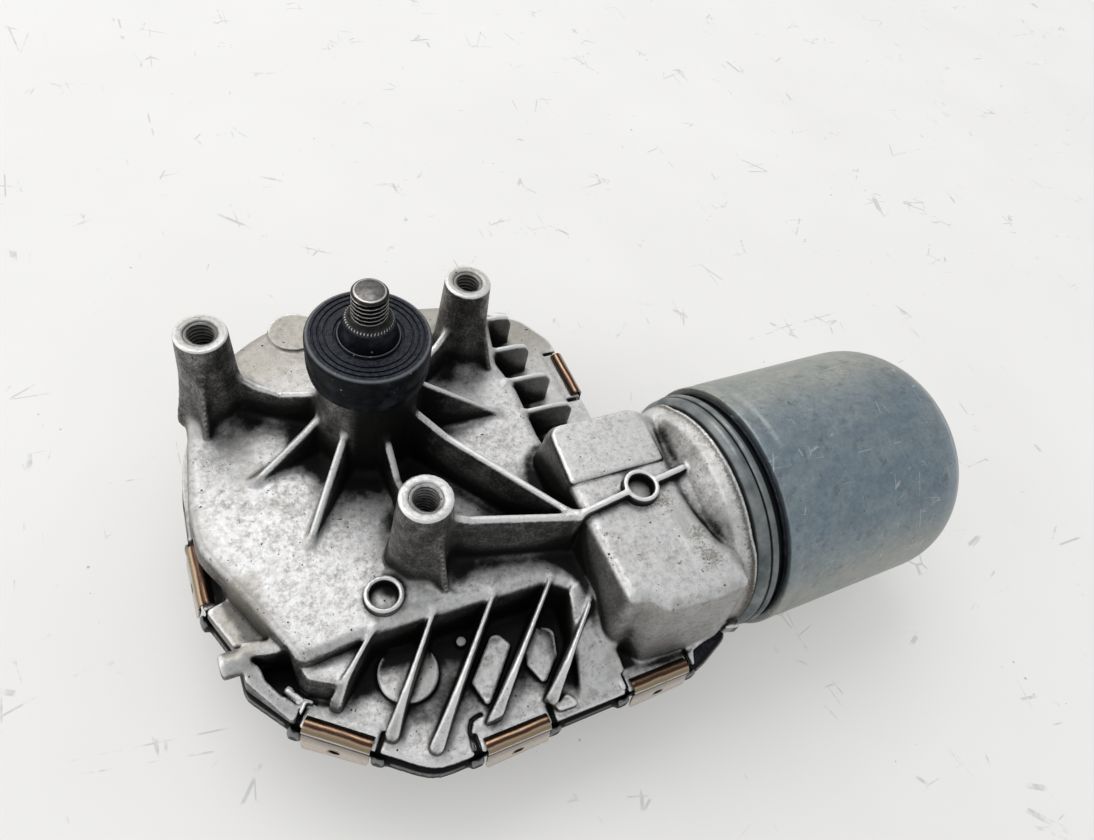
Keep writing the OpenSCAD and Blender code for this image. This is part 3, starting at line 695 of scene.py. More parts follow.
def sharpen(piece, degrees=35):
    """Keeps edges sharper than this angle crisp under smooth shading."""
    piece.data.set_sharp_from_angle(angle=math.radians(degrees))


def place_on_motor_axis(points):
    """Turns (x, y, z) about the Z axis into the motor's frame: its length runs along +X."""
    return [(z, AXIS_Y + y, AXIS_Z - x) for x, y, z in points]


def ring(points, radius, height, steps, centre=(0, 0)):
    """Adds a ring of points."""
    points += [(*polar(radius, 360 * k / steps, centre), height) for k in range(steps)]


def ring_faces(rows, steps, closed=False):
    """Faces between rings of points. closed joins the last ring to the first."""
    faces = []
    for i in range(rows if closed else rows - 1):
        j = (i + 1) % rows
        for k in range(steps):
            m = (k + 1) % steps
            faces.append((i * steps + k, i * steps + m, j * steps + m, j * steps + k))
    return faces


def revolve(name, profile, material, steps=128, motor=False):
    """A closed profile of (radius, height) turned about the shaft's or the motor's axis."""
    points = []
    for radius, height in profile:
        ring(points, radius, height, steps)
    if motor:
        points = place_on_motor_axis(points)
    return piece_from(name, points, ring_faces(len(profile), steps, closed=True), material)


def arc(centre, radius, start, end, steps):
    """Points of an arc. Its start and end are in degrees."""
    return [polar(radius, start + (end - start) * k / steps, centre) for k in range(steps + 1)]


def ride_as(piece, body, *nodes, slot):
    """The piece rides on the body and replaces the CAD nodes. The slot is not used."""
    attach(piece, body)
    if nodes:
        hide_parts(*nodes)


# ---- Gear housing ----

def boss_places():
    """The rear, left and front boss."""
    return [polar(BOSS_CIRCLE, angle) for angle in BOSS_ANGLES]


def toward(start, end, length):
    """The point that far from start on the way to end."""
    whole = math.hypot(end[0] - start[0], end[1] - start[1])
    return tuple(start[i] + (end[i] - start[i]) * length / whole for i in range(2))


def rim_outline():
    corners = [(71.5, -8, 1), (71.5, 28, 8), (65, 39, 8), (52, 46.2, 6)]
    corners += [(x, y, 20) for x, y in arc((0, 0), 48.9, 80, 176, 8)]
    corners += [(-49.8, -14, 30), (-49.8, -32, 10), (-44.5, -46, 4), (-44.5, -54, 4), (-34.8, -67.3, 3),
                (-9, -87.3, 12), (66, -87.3, 12), (78, -82, 3), (78, -8, 1)]
    return corners


def casting_outline():
    """The rim of the casting, cut back at one corner so the cover's edge shows."""
    corner = [(63.0, -87.3, 1), (64.6, -83.8, 1.5), (77, -79.6, 1), (78, -76, 1), (78, -8, 1)]
    return rim_outline()[:-3] + corner


def deck_outline():
    corners = [(45.8, -14, 3), (46.3, 3, 6), (44, 14, 6), (48, 30, 5), (43, 38.5, 6)]
    corners += [(x, y, 20) for x, y in arc((0, 0), 45.6, 70, 166, 8)]
    corners += [(-47.6, -10, 30), (-47.7, -22, 12), (-39.6, -38.6, 8), (-32.0, -56.8, 3), (-16, -55.6, 6),
                (30, -57.2, 3), (40, -64.8, 3), (50, -64.8, 1)]
    return corners


def add_bosses(solid):
    back, left, front = boss_places()
    for place in (left, back, front):
        solid.add(turned([(DECK_TOP - 1, 8.0), (-14, 7.0), (0, 6.3)], place, 0.35), 5.0)
    # Feet that spread each boss into the deck
    feet = [(left, 250, 13), (left, 190, 10), (back, -60, 13), (back, 60, 11), (front, -75, 13),
            (front, 180, 9)]
    for place, turn, reach in feet:
        end = polar(reach, turn, place)
        solid.add(wall(place, end, [(0, -2), (0.55, -9), (1, DECK_TOP)], 1.3, 0.06, DECK_TOP - 2, 1.0), 2.2)


def add_ribs(solid):
    back, left, front = boss_places()
    centre = (0, 0)
    saddle = [(0, -14), (0.25, -16.5), (0.5, -18.5), (0.75, -17), (1, -13)]
    # start, end, heights, thickness, draft, fillet
    ribs = [
        (toward(centre, left, 10), toward(left, centre, 5), saddle, 2.0, 0.05, 2.0),
        (toward(centre, back, 10), toward(back, centre, 5), saddle, 2.0, 0.05, 2.0),
        ((-9, 0.5), (-32, -8.2), [(0, -13), (0.35, -19), (1, -28.3)], 1.9, 0.16, 1.6),
        ((-6, -6), (-23.2, -29.5), [(0, -11), (0.3, -16), (1, -28.3)], 1.9, 0.10, 1.6),
        ((1, -8), (1.6, -34), [(0, -11), (0.55, -20.5), (1, -16)], 1.9, 0.06, 1.6),
        ((7, -7), JUNCTION, [(0, -8.5), (0.25, -12.5), (0.9, -13.5), (1, -13)], 2.0, 0.05, 1.6),
        (toward(front, JUNCTION, 4), JUNCTION, [(0, -8), (0.2, -11), (1, -13)], 2.2, 0.05, 1.8),
        ((9, -1.1), (38, -4.7), [(0, -5), (0.12, -8.5), (1, -28.3)], 1.7, 0.10, 1.6),
    ]
    for start, end, heights, thick, draft, fillet in ribs:
        solid.add(wall(start, end, heights, thick, draft), fillet)


def add_block(solid):
    outline = [(41.5, -21.5, 4), (40.6, -50, 30), (41.4, -73.8, 4), (46, -74.4, 1.5), (49.6, -78.6, 1.5),
               (61, -79.8, 20), (73.4, -79.4, 3), (74.2, -75, 3), (73.4, -70.6, 4), (70.2, -66, 6),
               (68.2, -50, 20), (70.6, -40, 4), (71.2, -22, 5)]
    solid.add(prism(outline, RIM_TOP - 1, BLOCK_TOP, 0.10, 2.6), 1.2)
    # Flare that widens to the motor's round flange
    flare = [(62, 21), (69.4, 22.2), (71.2, 23.8), (75.2, 29.9), (77.4, 31.6), (COLLAR_FRONT, 32.3)]
    solid.add(turned(flare, (AXIS_Y, AXIS_Z), 0.5, "x"), 1.4)
    # Shallow trough between the block and the flare, no wider than the flange
    neck = [(64, -22, 3), (64, -78.5, 3), (COLLAR_FRONT - 1, -78.5, 1), (COLLAR_FRONT - 1, -22, 1)]
    shape, low, high = prism(neck[::-1], RIM_TOP - 1, BLOCK_TOP - 2.0, 0.10, 2.0)
    flange = turned([(60, 30.6), (COLLAR_FRONT, 31.4)], (AXIS_Y, AXIS_Z), 0.5, "x")[0]
    solid.add((lambda x, y, z: soft_max(shape(x, y, z), flange(x, y, z), 1.5), low, high), 3.5)
    # The part behind the rib is slightly higher
    raised = [(42, -22.5, 4), (40.8, -40.4, 1), (68.4, -40.8, 1), (69.8, -24, 5)]
    solid.add(prism(raised, BLOCK_TOP - 2, BLOCK_TOP + 1.0, 0.15, 0.6), 0.3)
    crest = [(0, -11.4), (0.2, -11.0), (0.85, -10.8), (1, -12.2)]
    solid.add(wall(JUNCTION, (77, -45.0), crest, 1.7, 0.05, BLOCK_TOP - 4, 0.5), 0.4)
    # Lower ramp between the last fin and the block
    ramp = [(34, -61, 2), (42, -59, 2), (43, -86, 2), (30, -86, 2)]
    solid.add(sloped(prism(ramp, RIM_TOP - 1, DECK_TOP, 0.05, 1.0), -64, DECK_TOP, 0.62, 0.85, 2.0), 1.5)
    # Chipped lump by the front right clip
    solid.add(block((41.8, -84.3, RIM_TOP + 0.6), (3.6, 4.6, 2.6), 12, 1.2), 0.8)
    # Square tab by the collar
    solid.add(block((77.6, -80.6, RIM_TOP - 0.2), (4.4, 4.4, 6.2), -15, 0.4), 0.3)


def add_rings(solid):
    for place, floor in ((RING_ONE, DECK_TOP), (RING_TWO, BLOCK_TOP)):
        solid.add(turned([(floor - 1, 4.9), (floor + 3.0, 4.8)], place, 0.3), 0.2)
        solid.cut(turned([(floor - 0.6, 3.45), (floor + 5, 3.65)], place, 0.2), 0.2)


def add_fins(solid):
    starts = [(-16, -56), (0, -55.3), (15.6, -55.7), (30, -57.8), (39.2, -64.8)]
    feet = [(-27.4, -66.4), (-17.4, -77.8), (-8.8, -84.0), (5.6, -83.4), (20.9, -83.6)]
    for start, foot in zip(starts, feet, strict=True):
        back = toward(start, foot, -4)
        tops = [(0, -28.4), (0.16, -28.6), (0.72, -31.5), (0.93, -37.2), (1, -39.5)]
        solid.add(wall(back, foot, tops, 1.1, 0.055, RIM_TOP - 1, 0.8, 1.9, 2.6), 1.0)
    for y, reach in ((31, 57), (18.3, 58), (6, 60), (-6, 62)):
        tops = [(0, -28.4), (0.62, -28.6), (0.86, -29.4), (1, -32.5)]
        solid.add(wall((43, y), (reach, y), tops, 1.9, 0.03, RIM_TOP - 1, 1.2, 1.6), 1.0)


def add_fin_floor(solid):
    """A round disc and angular pads cast on the floor between the front fins."""
    pad_top = RIM_TOP + 2.2
    solid.add(turned([(RIM_TOP - 1, 7.9), (pad_top, 7.4)], (-8.5, -64), 0.4), 0.4)
    pads = [
        [(14.8, -61, 2), (5, -71.5, 1), (6.8, -79, 1), (13, -72, 1), (18, -66, 1)],
        [(24, -63, 2), (19.5, -72, 1), (22, -78.5, 1), (28, -73, 2), (30, -66, 2)],
        [(26.3, -82, 1), (29, -86, 1), (20.5, -85.6, 1)],
    ]
    for pad in pads:
        solid.add(prism(pad[::-1], RIM_TOP - 1, pad_top, 0.05, 0.4), 0.4)
    solid.add(turned([(RIM_TOP - 1, 1.5), (pad_top, 1.3)], (6.3, -61), 0.4), 0.4)
    # Bent groove beside the front clip
    bend = [(5.3, -79.0), (2.4, -79.3), (1.0, -81.5), (0.5, -85.5), (1.0, -88.5)]
    tops = [(0, RIM_TOP + 2), (1, RIM_TOP + 2)]
    for start, end in zip(bend[:-1], bend[1:], strict=True):
        solid.cut(wall(start, end, tops, 0.9, 0, RIM_TOP - 1.3, 0.1, 0.1), 0.2)


def add_left_lug(solid):
    """The locating peg, its lug and the thin wall round a dark pocket."""
    solid.add(wall((-33, -50.4), (-43.6, -46.6), [(0, -32.8), (0.4, -34), (1, -35.6)], 3.6, 0.03), 0.9)
    solid.add(turned([(-48.8, 2.4), (-48.3, 3.05), (-42, 3.1)], (-48.6, -38.6), 0.3, "x"), 0.5)
    # Broad face that slopes down from the lug, outside the pocket
    face = [(-43.4, -46.4, 1), (-44.2, -53.6, 1.5), (-36.4, -65.4, 1), (-33.6, -63.6, 1),
            (-38.0, -58, 1), (-40.4, -52, 1)]
    solid.add(sloped(prism(face, RIM_TOP - 1, -35.6, 0.03, 0.6), -47, -35.8, 0.27, 0.96, 0.8), 0.6)
    # Raised ledge between the lug and the left clip
    ledge = [(-49.2, -33.4, 1), (-44.8, -44.8, 1.5), (-37.5, -45.5, 1), (-42.4, -31.6, 1)]
    solid.add(prism(ledge, RIM_TOP - 1, -38.9, 0.05, 0.6), 0.5)
    # Shelf between the deck's corner and the first fin
    shelf = [(-32.4, -56, 1), (-31.0, -59.4, 1), (-24.4, -63.4, 1), (-17, -56.6, 1)]
    solid.add(prism(shelf, RIM_TOP - 1, -33.4, 0.2, 0.6), 0.6)
    pocket = [(-40.6, -50.4, 1), (-39.9, -55.0, 1), (-36.6, -60.4, 1), (-35.0, -57.6, 1), (-33.2, -59.6, 1),
              (-33.6, -51.4, 1)]
    solid.cut(prism(pocket, RIM_BOTTOM - 2, -30), 0.4)
    # Broken ridge and a small tab beside the front left clip
    ridge = wall((-36.2, -57.4), (-33.0, -61.8), [(0, -40.6), (1, -40.0)], 1.9, 0.15, RIM_TOP - 1, 0.8, 0.4)
    solid.add(ridge, 0.8)
    solid.add(block((-32.8, -63.8, -41.4), (3.0, 4.0, 4.4), -38, 1.2), 0.6)


def cut_rim_step(solid):
    """The foot of the rim steps inward."""
    points = rounded(casting_outline())

    def step(x, y, z):
        return np.maximum(-outline_distance(points, x, y) - 0.9, z - RIM_BOTTOM - 2.6)

    solid.cut((step, (-52, -90, RIM_BOTTOM - 1), (80, 50, RIM_TOP)), 0.2)


def clip_point(clip, out, side=0.0):
    """The point that far outward and sideways from a clip's place."""
    x, y, turn = clip
    ux, uy = polar(1, turn)
    return (x + out * ux - side * uy, y + out * uy + side * ux)


def cut_clip_seats(solid):
    """Flat seats and slots where the clips grip the rim."""
    for clip in CLIPS.values():
        seat = (*clip_point(clip, -1.5), RIM_TOP + 2.8)
        solid.cut(block(seat, (7.4, 18.4, 5.6), clip[2], 0.4), 0.5)
        for side in (-9.8, 9.8):
            slot = (*clip_point(clip, -2.2, side), RIM_TOP + 0.2)
            solid.cut(block(slot, (5.4, 1.1, 3.4), clip[2], 0.3), 0.3)


def cut_hollows(solid):
    """The gear chamber, the bores and the worm tunnel."""
    motor = (AXIS_Y, AXIS_Z)
    cuts = [
        turned([(RIM_BOTTOM - 2, 44.6), (DECK_BOTTOM, 44.6)], (0, 0)),
        turned([(DECK_BOTTOM - 2, 8.02), (HUB_TOP + 3, 8.02)], (0, 0), 0.2),
        turned([(HUB_TOP - 6, 9.52), (HUB_TOP + 3, 9.52)], (0, 0), 0.2),
        turned([(-14, 6.35), (14, 6.35)], motor, 0.4, "x"),
        turned([(-30, 6.0), (0, 6.0)], motor, 0.4, "x"),
        turned([(10, 5.25), (90, 5.25)], motor, 0.4, "x"),
        turned([(46, 11.05), (53, 11.05)], motor, 0.2, "x"),
        turned([(53, 9.0), (90, 9.0)], motor, 0.4, "x"),
        turned([(COLLAR_FRONT - 0.9, 29), (92, 29)], motor, 0.2, "x"),
        block((0, AXIS_Y + 1, -42.5), (28, 14, 12)),
    ]
    for made in cuts:
        solid.cut(made, 0.3)
    for place in boss_places():
        solid.cut(turned([(-18, 3.95), (2, 3.95)], place, 0.1), 0.15)


def gear_housing():
    """The casting: walls and ribs first, then the hollows inside."""
    step = 0.45
    solid = Solid((-52, -90, -48), (82, 52, 2), step)
    solid.add(prism(casting_outline(), RIM_BOTTOM, RIM_TOP, 0.0, 0.9), 0.5)
    solid.add(prism(deck_outline(), RIM_TOP - 1, DECK_TOP, 0.10, 2.6), 1.6)
    add_block(solid)
    solid.add(turned([(DECK_TOP - 1, 14.0), (-16, 12.9), (HUB_TOP, 12.5)], (0, 0), 0.4), 2.6)
    add_bosses(solid)
    add_ribs(solid)
    add_fins(solid)
    add_fin_floor(solid)
    add_left_lug(solid)
    # Thin round pad on the deck behind the shaft
    solid.add(turned([(DECK_TOP - 1, 7.4), (DECK_TOP + 0.8, 7.2)], (-10.2, 39), 0.3), 0.2)
    add_rings(solid)
    cut_rim_step(solid)
    cut_clip_seats(solid)
    solid.keep_skin()
    cut_hollows(solid)
    piece = solid.mesh("gear_housing_casting", MATERIALS["cast_aluminium"])
    ride_as(piece, "housing", "gear_housing", slot="cast_aluminium")


# ---- Threads ----

def thread(name, pitch, low, high, inner, outer, material, centre=(0, 0), inward=False):
    """A helical thread between two radii. inward makes it the wall of a hole."""
    steps = 96
    rows_per_turn = 14
    rows = int((high - low) / pitch * rows_per_turn) + 1
    points, crest_glints = [], []
    for i in range(rows):
        z = low + (high - low) * i / (rows - 1)
        for k in range(steps):
            phase = ((z - low) / pitch - k / steps) % 1.0
            tooth = min(1.0, max(0.0, 1.55 - 4.2 * abs(phase - 0.5)))
            radius = outer - (outer - inner) * tooth if inward else inner + (outer - inner) * tooth
            points.append((*polar(radius, 360 * k / steps, centre), z))
            # Painted highlights along the crests
            crest_glints.append(0.62 * max(0.0, tooth - 0.85) / 0.15 + 0.04)
    if inward:
        # An outer skin closes the sleeve
        ring(points, outer + 0.25, high, steps, centre)
        ring(points, outer + 0.25, low, steps, centre)
        crest_glints += [0.0] * (2 * steps)
    faces = ring_faces(len(points) // steps, steps, closed=inward)
    if not inward:
        faces += [tuple(range(steps)), tuple(range(len(points) - steps, len(points)))]
    piece = piece_from(name, points, faces, material)
    set_values(piece, "painted_glint", crest_glints)
    return piece


def boss_threads():
    for name, place in zip(("rear", "left", "front"), boss_places(), strict=True):
        piece = thread(f"boss_{name}_thread_turns", 1.25, -17.9, -0.35, 3.15, 3.9,
                       MATERIALS["cast_aluminium"], place, inward=True)
        # Set enclosure values, so the casting's material paints grime and painted shade inside the hole
        for label in ("inner", "deep"):
            set_values(piece, label, [0.31] * len(piece.data.vertices))
        ride_as(piece, "housing", slot="cast_aluminium")


def shaft_core(cone, thread_low, thread_high):
    steps = 96
    # radius, height, painted highlight
    rows = [
        (0.01, -44, 0.1), (6, -44, 0.1), (6, 9.4, 0.1), (5.3, 9.8, 0.1), (5.3, cone + 0.2, 0.1),
        (5.0, cone + 0.5, 0.1), (4.35, thread_low - 0.3, 0.1), (3.45, thread_low + 0.2, 0),
        (3.4, thread_high - 0.2, 0), (3.9, thread_high, 0.1), (4.15, thread_high + 0.25, 0.8),
        (4.2, SHAFT_TOP - 0.7, 0.2), (3.9, SHAFT_TOP - 0.35, 0.15), (3.45, SHAFT_TOP - 0.25, 0.9),
        (3.3, SHAFT_TOP - 0.05, 0.5), (3.15, SHAFT_TOP, 0.36), (0.01, SHAFT_TOP, 0.36),
    ]
    core = revolve("output_shaft_core", [row[:2] for row in rows], MATERIALS["shaft_steel"], steps)
    set_values(core, "painted_glint", [row[2] for row in rows for _ in range(steps)])
    sharpen(core, 25)
    ride_as(core, "output", "output_shaft", slot="steel")


def shaft_knurl(cone):
    """Fine teeth round the top of the cone, with painted highlights on their tips."""
    teeth = 44
    # radius, height, tooth's height, painted highlight of a gap, painted highlight of a tooth
    rows = [
        (5.1, cone - 0.1, 0, 0.1, 0.1), (5.55, cone, 0.16, 0, 1.3), (5.5, cone + 0.35, 0.16, 0, 0.9),
        (5.15, cone + 0.7, 0.16, 0.2, 0.2), (4.6, cone + 1.0, 0, 0.1, 0.1),
    ]
    points, glint_values = [], []
    for radius, height, tooth, *painted_glint in rows:
        for k in range(2 * teeth):
            points.append((*polar(radius + tooth * (k % 2), 180 * k / teeth), height))
            glint_values.append(painted_glint[k % 2])
    faces = ring_faces(len(rows), 2 * teeth, closed=True)
    knurl = piece_from("output_shaft_knurl", points, faces, MATERIALS["shaft_steel"], smooth=False)
    set_values(knurl, "painted_glint", glint_values)
    ride_as(knurl, "output", slot="steel")


def output_shaft():
    """Turned shaft with a chamfered M8 end, a knurled cone and a rubber boot under it."""
    low, high = SHAFT_TOP - 7.6, SHAFT_TOP - 1.3
    cone = 16.3
    shaft_core(cone, low, high)
    turns = thread("output_shaft_thread", 1.25, low, high, 3.4, 4.2, MATERIALS["shaft_steel"])
    ride_as(turns, "output", slot="steel")
    boot = [(5.25, 11.3), (6.9, 11.3), (6.95, 11.6), (6.4, 14.0), (6.0, cone - 0.3), (5.5, cone),
            (5.25, cone)]
    skirt = revolve("output_shaft_boot", boot, MATERIALS["black_rubber"], 96)
    sharpen(skirt, 40)
    ride_as(skirt, "output", slot="black_rubber")
    shaft_knurl(cone)


def rubber_cap():
    """Cap over the hub with grooves round its top and a thin lip round the shaft's boot."""
    top = 10.8
    profile = [(12.55, -1.15), (14.0, -1.15), (14.4, -0.6), (14.75, 1.6), (14.85, 4.0), (14.7, 4.3),
               (14.85, 4.6), (14.95, 9.6), (14.8, 10.3), (14.3, 10.72), (13.8, top)]
    for r in (12.9, 11.6, 10.2):
        profile += [(r + 0.35, top), (r + 0.25, top - 0.32), (r - 0.05, top - 0.32), (r - 0.15, top)]
    profile += [(8.3, top), (8.15, top - 0.4), (7.75, top - 0.4), (7.5, top + 0.25), (7.2, top + 0.35),
                (7.05, top + 0.1), (7.05, top - 0.2), (6.15, top - 0.6), (6.15, -1.9), (12.55, -1.9)]
    piece = revolve("rubber_cap_moulded", profile, MATERIALS["black_rubber"], 144)
    # Painted highlights on the cap's outer rim and on its lip
    glint_values = [0.5 if (r, z) in ((14.3, 10.72), (7.2, top + 0.35)) else 0.0 for r, z in profile]
    set_values(piece, "painted_glint", [value for value in glint_values for _ in range(144)])
    sharpen(piece, 50)
    ride_as(piece, "housing", "rubber_cap", slot="black_rubber")


# ---- Motor ----

def motor_can():
    bend = 20.0
    wall_thick = 1.8
    outer = [(CAN_RADIUS - 0.5, CAN_FRONT + 0.02), (CAN_RADIUS - 0.12, CAN_FRONT + 0.25)]
    outer += [(CAN_RADIUS, CAN_FRONT + 0.7)]
    # A shallow dip runs round the can
    outer += [(CAN_RADIUS - 0.32 * (1 - math.cos(a)) / 2, CAN_FRONT + 2.2 + a * 0.75)
              for a in np.linspace(0, 2 * math.pi, 17).tolist()]
    outer += [(CAN_RADIUS, x) for x in (100, 112, 124, 134)]
    outer += arc((CAN_RADIUS - bend, CAN_END - bend), bend, 0, 90, 16)
    outer += [(9, CAN_END), (8.4, CAN_END - 0.1), (0.02, CAN_END - 0.1)]
    inner_radius = CAN_RADIUS - wall_thick
    inner = [(0.02, CAN_END - wall_thick)]
    inner += arc((CAN_RADIUS - bend, CAN_END - bend), bend - wall_thick, 90, 0, 12)
    inner += [(inner_radius, CAN_FRONT + 0.02)]
    piece = revolve("motor_can_drawn", outer + inner, MATERIALS["zinc_plated_steel"], 160, motor=True)
    sharpen(piece, 40)
    ride_as(piece, "housing", "motor_can", slot="zinc_plated_steel")


def motor_collar():
    start = COLLAR_FRONT + 0.04
    # radius, place along the axis, grime and painted shade
    rows = [(30, 0, 1), (31.8, 0, 1), (32.2, 0.3, 0.7), (32.7, 0.8, 0.2), (33.5, 1.5, 0), (33.9, 2.1, 0),
            (33.9, 3.5, 0.1), (33.7, 3.8, 0.7), (33.7, 4.1, 0.7), (34.1, 4.4, 0.1), (34.35, 4.8, 0),
            (34.35, 5.7, 0), (34.1, 6.1, 0.4), (33.2, 6.3, 1), (33.2, 8.8, 1), (30, 8.8, 1)]
    steps = 160
    profile = [(r, start + x) for r, x, _ in rows]
    piece = revolve("motor_collar_ring", profile, MATERIALS["zinc_ring"], steps, motor=True)
    set_values(piece, "groove", [grime_and_shade for _, _, grime_and_shade in rows for _ in range(steps)])
    sharpen(piece, 50)
    ride_as(piece, "housing", "motor_collar", slot="zinc_plated_steel")


# ---- Clips ----

def clip_path():
    """The strip's outer line as (out from the rim's edge, height)."""
    path = [(-3.0, RIM_TOP + 0.1), (-2.95, RIM_TOP + 0.5)]
    for angle in range(150, -20, -10):
        across, up = polar(1, angle)
        path.append((-1.0 + 2.0 * across, RIM_TOP - 0.3 + 1.75 * up))
    path += [(1.0, RIM_TOP - 1.5), (1.05, RIM_TOP - 2.2), (1.25, RIM_TOP - 2.9)]
    path += [(1.25 + 0.9 * t, RIM_TOP - 2.9 - 5.6 * t) for t in (0.25, 0.5, 0.75, 1.0)]
    return path


def clip_strip(name, place):
    """The strip's outer face, with how far across it each point lies."""
    path = clip_path()
    length = [0.0]
    for p, q in zip(path[:-1], path[1:], strict=True):
        length.append(length[-1] + math.dist(p, q))
    columns = 18
    points, faces, across = [], [], []
    for (out, z), run in zip(path, length, strict=True):
        # The skirt's corners are cut back
        trim = 1.0 if run == length[-1] else 0.0
        for k in range(columns + 1):
            # The skirt is lower at one end
            lift = 2.0 * k / columns * max(0.0, (RIM_TOP - 2.9 - z) / 5.6)
            points.append((*clip_point(place, out, (k / columns - 0.5) * (STRIP_WIDTH - trim)), z + lift))
            across.append(run / length[-1])
    for i in range(len(path) - 1):
        for k in range(columns):
            first = i * (columns + 1) + k
            faces.append((first, first + 1, first + columns + 2, first + columns + 1))
    piece = piece_from(name + "_strip", points, faces, MATERIALS["bronze_spring_steel"])
    set_values(piece, "across", across)
    return piece


def shape_by(piece, kind, **settings):
    """Applies a modifier."""
    modifier = piece.modifiers.new(kind, kind)
    for key, value in settings.items():
        setattr(modifier, key, value)
    bpy.context.view_layer.objects.active = piece
    bpy.ops.object.modifier_apply(modifier=modifier.name)


def spring_clip(name, place):
    """A bent strip with a slot in its skirt."""
    piece = clip_strip(name, place)
    bpy.ops.mesh.primitive_cylinder_add(vertices=32, radius=0.55 * MM, depth=6 * MM)
    drill = bpy.context.object
    drill.rotation_mode = "QUATERNION"
    drill.rotation_quaternion = Vector((*polar(1, place[2]), 0)).to_track_quat("Z", "Y")
    drill.location = Vector((*clip_point(place, 1.6), RIM_TOP - 5.3)) * MM
    drill.scale = (2.2, 1.0, 1.0)
    shape_by(piece, "SOLIDIFY", thickness=STRIP_THICK * MM, offset=-1.0)
    shape_by(piece, "BOOLEAN", object=drill, operation="DIFFERENCE")
    shape_by(piece, "BEVEL", width=0.12 * MM, segments=2, limit_method="ANGLE")
    bpy.data.objects.remove(drill)
    sharpen(piece, 40)
    ride_as(piece, "housing", name, slot="bronze_spring_steel")


# ---- Cover ----

def shrunk(outline, amount):
    """The outline with every side moved inward."""
    result = []
    for i, corner in enumerate(outline):
        here = Vector(corner[:2])
        before = (here - Vector(outline[i - 1][:2])).normalized()
        after = (Vector(outline[(i + 1) % len(outline)][:2]) - here).normalized()
        a, b = Vector((-before.y, before.x)), Vector((-after.y, after.x))
        moved = here + (a + b) * amount / (1 + a.dot(b))
        result.append((moved.x, moved.y, max(corner[2] - amount, 0.5)))
    return result


def bottom_cover():
    step = 0.55
    solid = Solid((-53, -91, GROUND - 1), (80, 52, RIM_TOP + 2), step)
    pan = [(62, -64, 6), (62, 32, 6), (-28, 32, 8), (-28, -64, 8)]
    # A lip stands out under the casting's rim and stops at each clip
    solid.add(prism(shrunk(rim_outline(), -0.8), COVER_BOTTOM + 0.4, COVER_LIP, 0.0, 0.5), 0.3)
    for clip in CLIPS.values():
        solid.cut(block((*clip_point(clip, 1.6), COVER_BOTTOM), (4.2, 18.2, 8), clip[2], 0.3), 0.2)
    solid.add(prism(shrunk(rim_outline(), 0.1), COVER_BOTTOM, SEAL_BOTTOM, 0.0, 0.7), 0.3)
    solid.add(prism(shrunk(pan, 0.6), GROUND, COVER_BOTTOM + 1, -0.03, 1.6), 1.2)
    for x in range(-20, 60, 13):
        solid.add(block((x, -16, COVER_BOTTOM - 1.3), (1.6, 108, 2.4), 0, 0.5), 0.6)
    solid.add(block((10, 39.8, GROUND + 9), (31.6, 19.6, 15.6), 0, 1.4), 0.8)
    # Hooks at both ends of each clip
    for clip in CLIPS.values():
        for side in (-10.3, 10.3):
            hook = (*clip_point(clip, -0.2, side), COVER_BOTTOM + 2.4)
            solid.add(block(hook, (3.4, 3.4, 4.6), clip[2], 0.9), 0.6)
    solid.keep_skin()
    solid.cut(prism(shrunk(pan, 2.7), GROUND + 2.5, RIM_TOP, 0.0, 1.0), 0.3)
    solid.cut(block((10, 43, GROUND + 9), (27, 34, 11), 0, 0.4), 0.3)
    solid.cut(prism(shrunk(rim_outline(), -0.2), SEAL_BOTTOM, RIM_TOP + 3, 0.0, 0.3), 0.2)
    solid.cut(turned([(71.6, 33.5), (90, 33.5)], (AXIS_Y, AXIS_Z), 0.3, "x"), 0.3)
    piece = solid.mesh("bottom_cover_moulded", MATERIALS["black_plastic"])
    ride_as(piece, "housing", "bottom_cover", slot="black_plastic")


# ---- The CAD nodes that stay ----

def paint_nodes():
    slots = {
        "black_rubber": ["cover_seal", "shaft_seal", "collar_seal"],
        "steel": ["wheel_hub", "thrust_washer", "retaining_ring", "armature_shaft", "worm",
                  "bearing_outer_ring", "bearing_inner_ring", "bearing_balls", "rear_thrust_button",
                  "brush_spring_1", "brush_spring_2"],
        "sintered_bronze": ["upper_bush", "lower_bush", "front_bush", "rear_bush"],
        "acetal": ["worm_wheel", "front_thrust_pad"],
        "ferrite": ["magnet_1", "magnet_2", "magnet_3", "magnet_4", "position_magnet"],
        "lamination_steel": ["armature_core"],
        "copper": ["armature_windings", "commutator", "connector_pins"],
        "carbon": ["brush_1", "brush_2", "position_sensor"],
        "circuit_board": ["control_board"],
        "black_plastic": ["brush_holder", "connector_socket"],
        "zinc_plated_steel": ["capacitor"],
    }
    for slot, names in slots.items():
        for name in names:
            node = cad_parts[name]
            node.data.materials.clear()
            node.data.materials.append(MATERIALS[slot])


# ---- Camera, light and floor ----

def camera():
    heading, pitch, roll = 0.676, 0.909, 0.320
    place = Vector((-38.750, -121.944, 154.219)) * MM
    data = bpy.data.cameras.new("camera")
    data.sensor_width = 36
    data.lens = 26.12429
    data.clip_start = 0.01
    data.clip_end = 20
    made = bpy.data.objects.new("camera", data)
    bpy.context.collection.objects.link(made)
    turn = Matrix.Rotation(-heading, 4, "Z") @ Matrix.Rotation(math.pi / 2 - pitch, 4, "X")
    made.matrix_world = Matrix.Translation(place) @ turn @ Matrix.Rotation(roll, 4, "Z")
    bpy.context.scene.camera = made


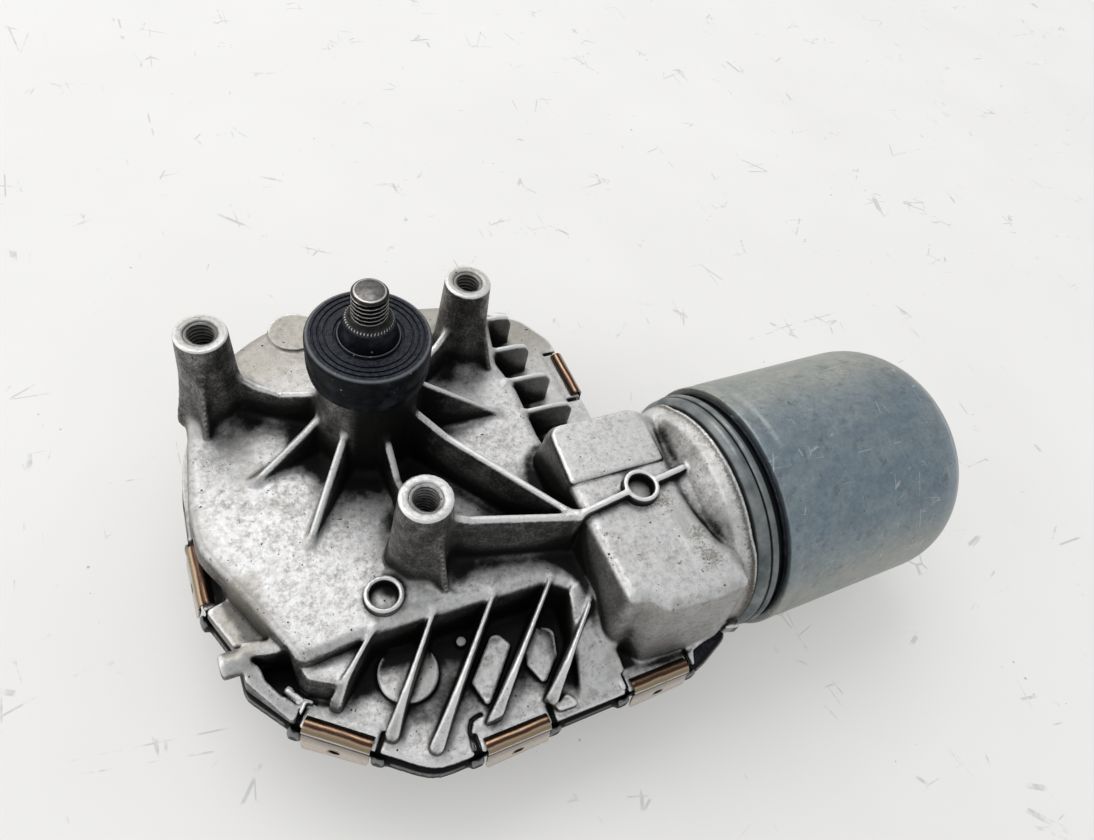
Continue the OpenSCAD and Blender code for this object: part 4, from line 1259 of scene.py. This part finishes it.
def area_light(name, place, target, size, power):
    data = bpy.data.lights.new(name, "AREA")
    data.shape = "RECTANGLE"
    data.size, data.size_y = size
    data.energy = power
    lamp = bpy.data.objects.new(name, data)
    bpy.context.collection.objects.link(lamp)
    lamp.location = place
    lamp.rotation_mode = "QUATERNION"
    lamp.rotation_quaternion = (Vector(place) - Vector(target)).to_track_quat("Z", "Y")


def studio():
    """A pale room whose far side is brightest, with two broad soft lamps."""
    world = bpy.data.worlds.new("studio")
    world.use_nodes = True
    tree = world.node_tree
    direction = tree.nodes.new("ShaderNodeTexCoord")
    toward_wall = tree.nodes.new("ShaderNodeVectorMath")
    toward_wall.operation = "DOT_PRODUCT"
    toward_wall.inputs[1].default_value = (-0.35, 0.85, -0.35)
    ramp = tree.nodes.new("ShaderNodeValToRGB")
    tree.links.new(direction.outputs["Generated"], toward_wall.inputs[0])
    tree.links.new(toward_wall.outputs["Value"], ramp.inputs["Fac"])
    stops = ramp.color_ramp.elements
    stops[0].position, stops[0].color = 0.0, (0.46, 0.47, 0.48, 1)
    stops[1].position, stops[1].color = 0.65, (0.93, 0.92, 0.90, 1)
    background = tree.nodes["Background"]
    tree.links.new(ramp.outputs["Color"], background.inputs["Color"])
    background.inputs["Strength"].default_value = 1.24
    bpy.context.scene.world = world
    bpy.context.scene.view_settings.view_transform = "Standard"
    bpy.context.scene.view_settings.look = "Medium High Contrast"
    middle = (0.04, -0.03, -0.04)
    area_light("overhead", (-0.1, 1.1, 2.0), middle, (1.6, 1.2), 12)
    area_light("left", (-1.9, 0.2, 1.1), middle, (1.4, 1.0), 5)


def floor():
    bpy.ops.mesh.primitive_grid_add(x_subdivisions=4, y_subdivisions=4, size=6)
    ground = bpy.context.object
    ground.name = "floor"
    ground.location = (0, 0, GROUND * MM)
    n = Nodes("pale_floor")
    base = n.ramp(n.noise(9, 3), [(0.3, (0.495, 0.49, 0.48)), (0.7, (0.53, 0.525, 0.515))])
    marks = scratches(n, (((1.0, 0.24, 1), 62), ((0.3, 1.0, 1), 54), ((0.7, 0.5, 1), 47)), 0.009,
                      n.span(n.noise(48, 4), 0.58, 0.66))
    specks = n.below(n.cells(230), n.span(n.noise(30, 3), 0.50, 0.8, 0.0, 0.15))
    marks = n.most(n.times(marks, 0.4), n.times(specks, 0.6))
    base = n.mix(marks, base, (0.02, 0.02, 0.018, 1))
    glow = {"Emission_Color": (1.0, 0.985, 0.96, 1), "Emission_Strength": 0.27}
    ground.data.materials.append(n.finish(base, 0.6, n.bump(n.noise(300, 3), 0.05, 0.3), **glow))


camera()
studio()
floor()
gear_housing()
boss_threads()
output_shaft()
rubber_cap()
motor_can()
motor_collar()
for clip, where in CLIPS.items():
    spring_clip(clip, where)
bottom_cover()
paint_nodes()
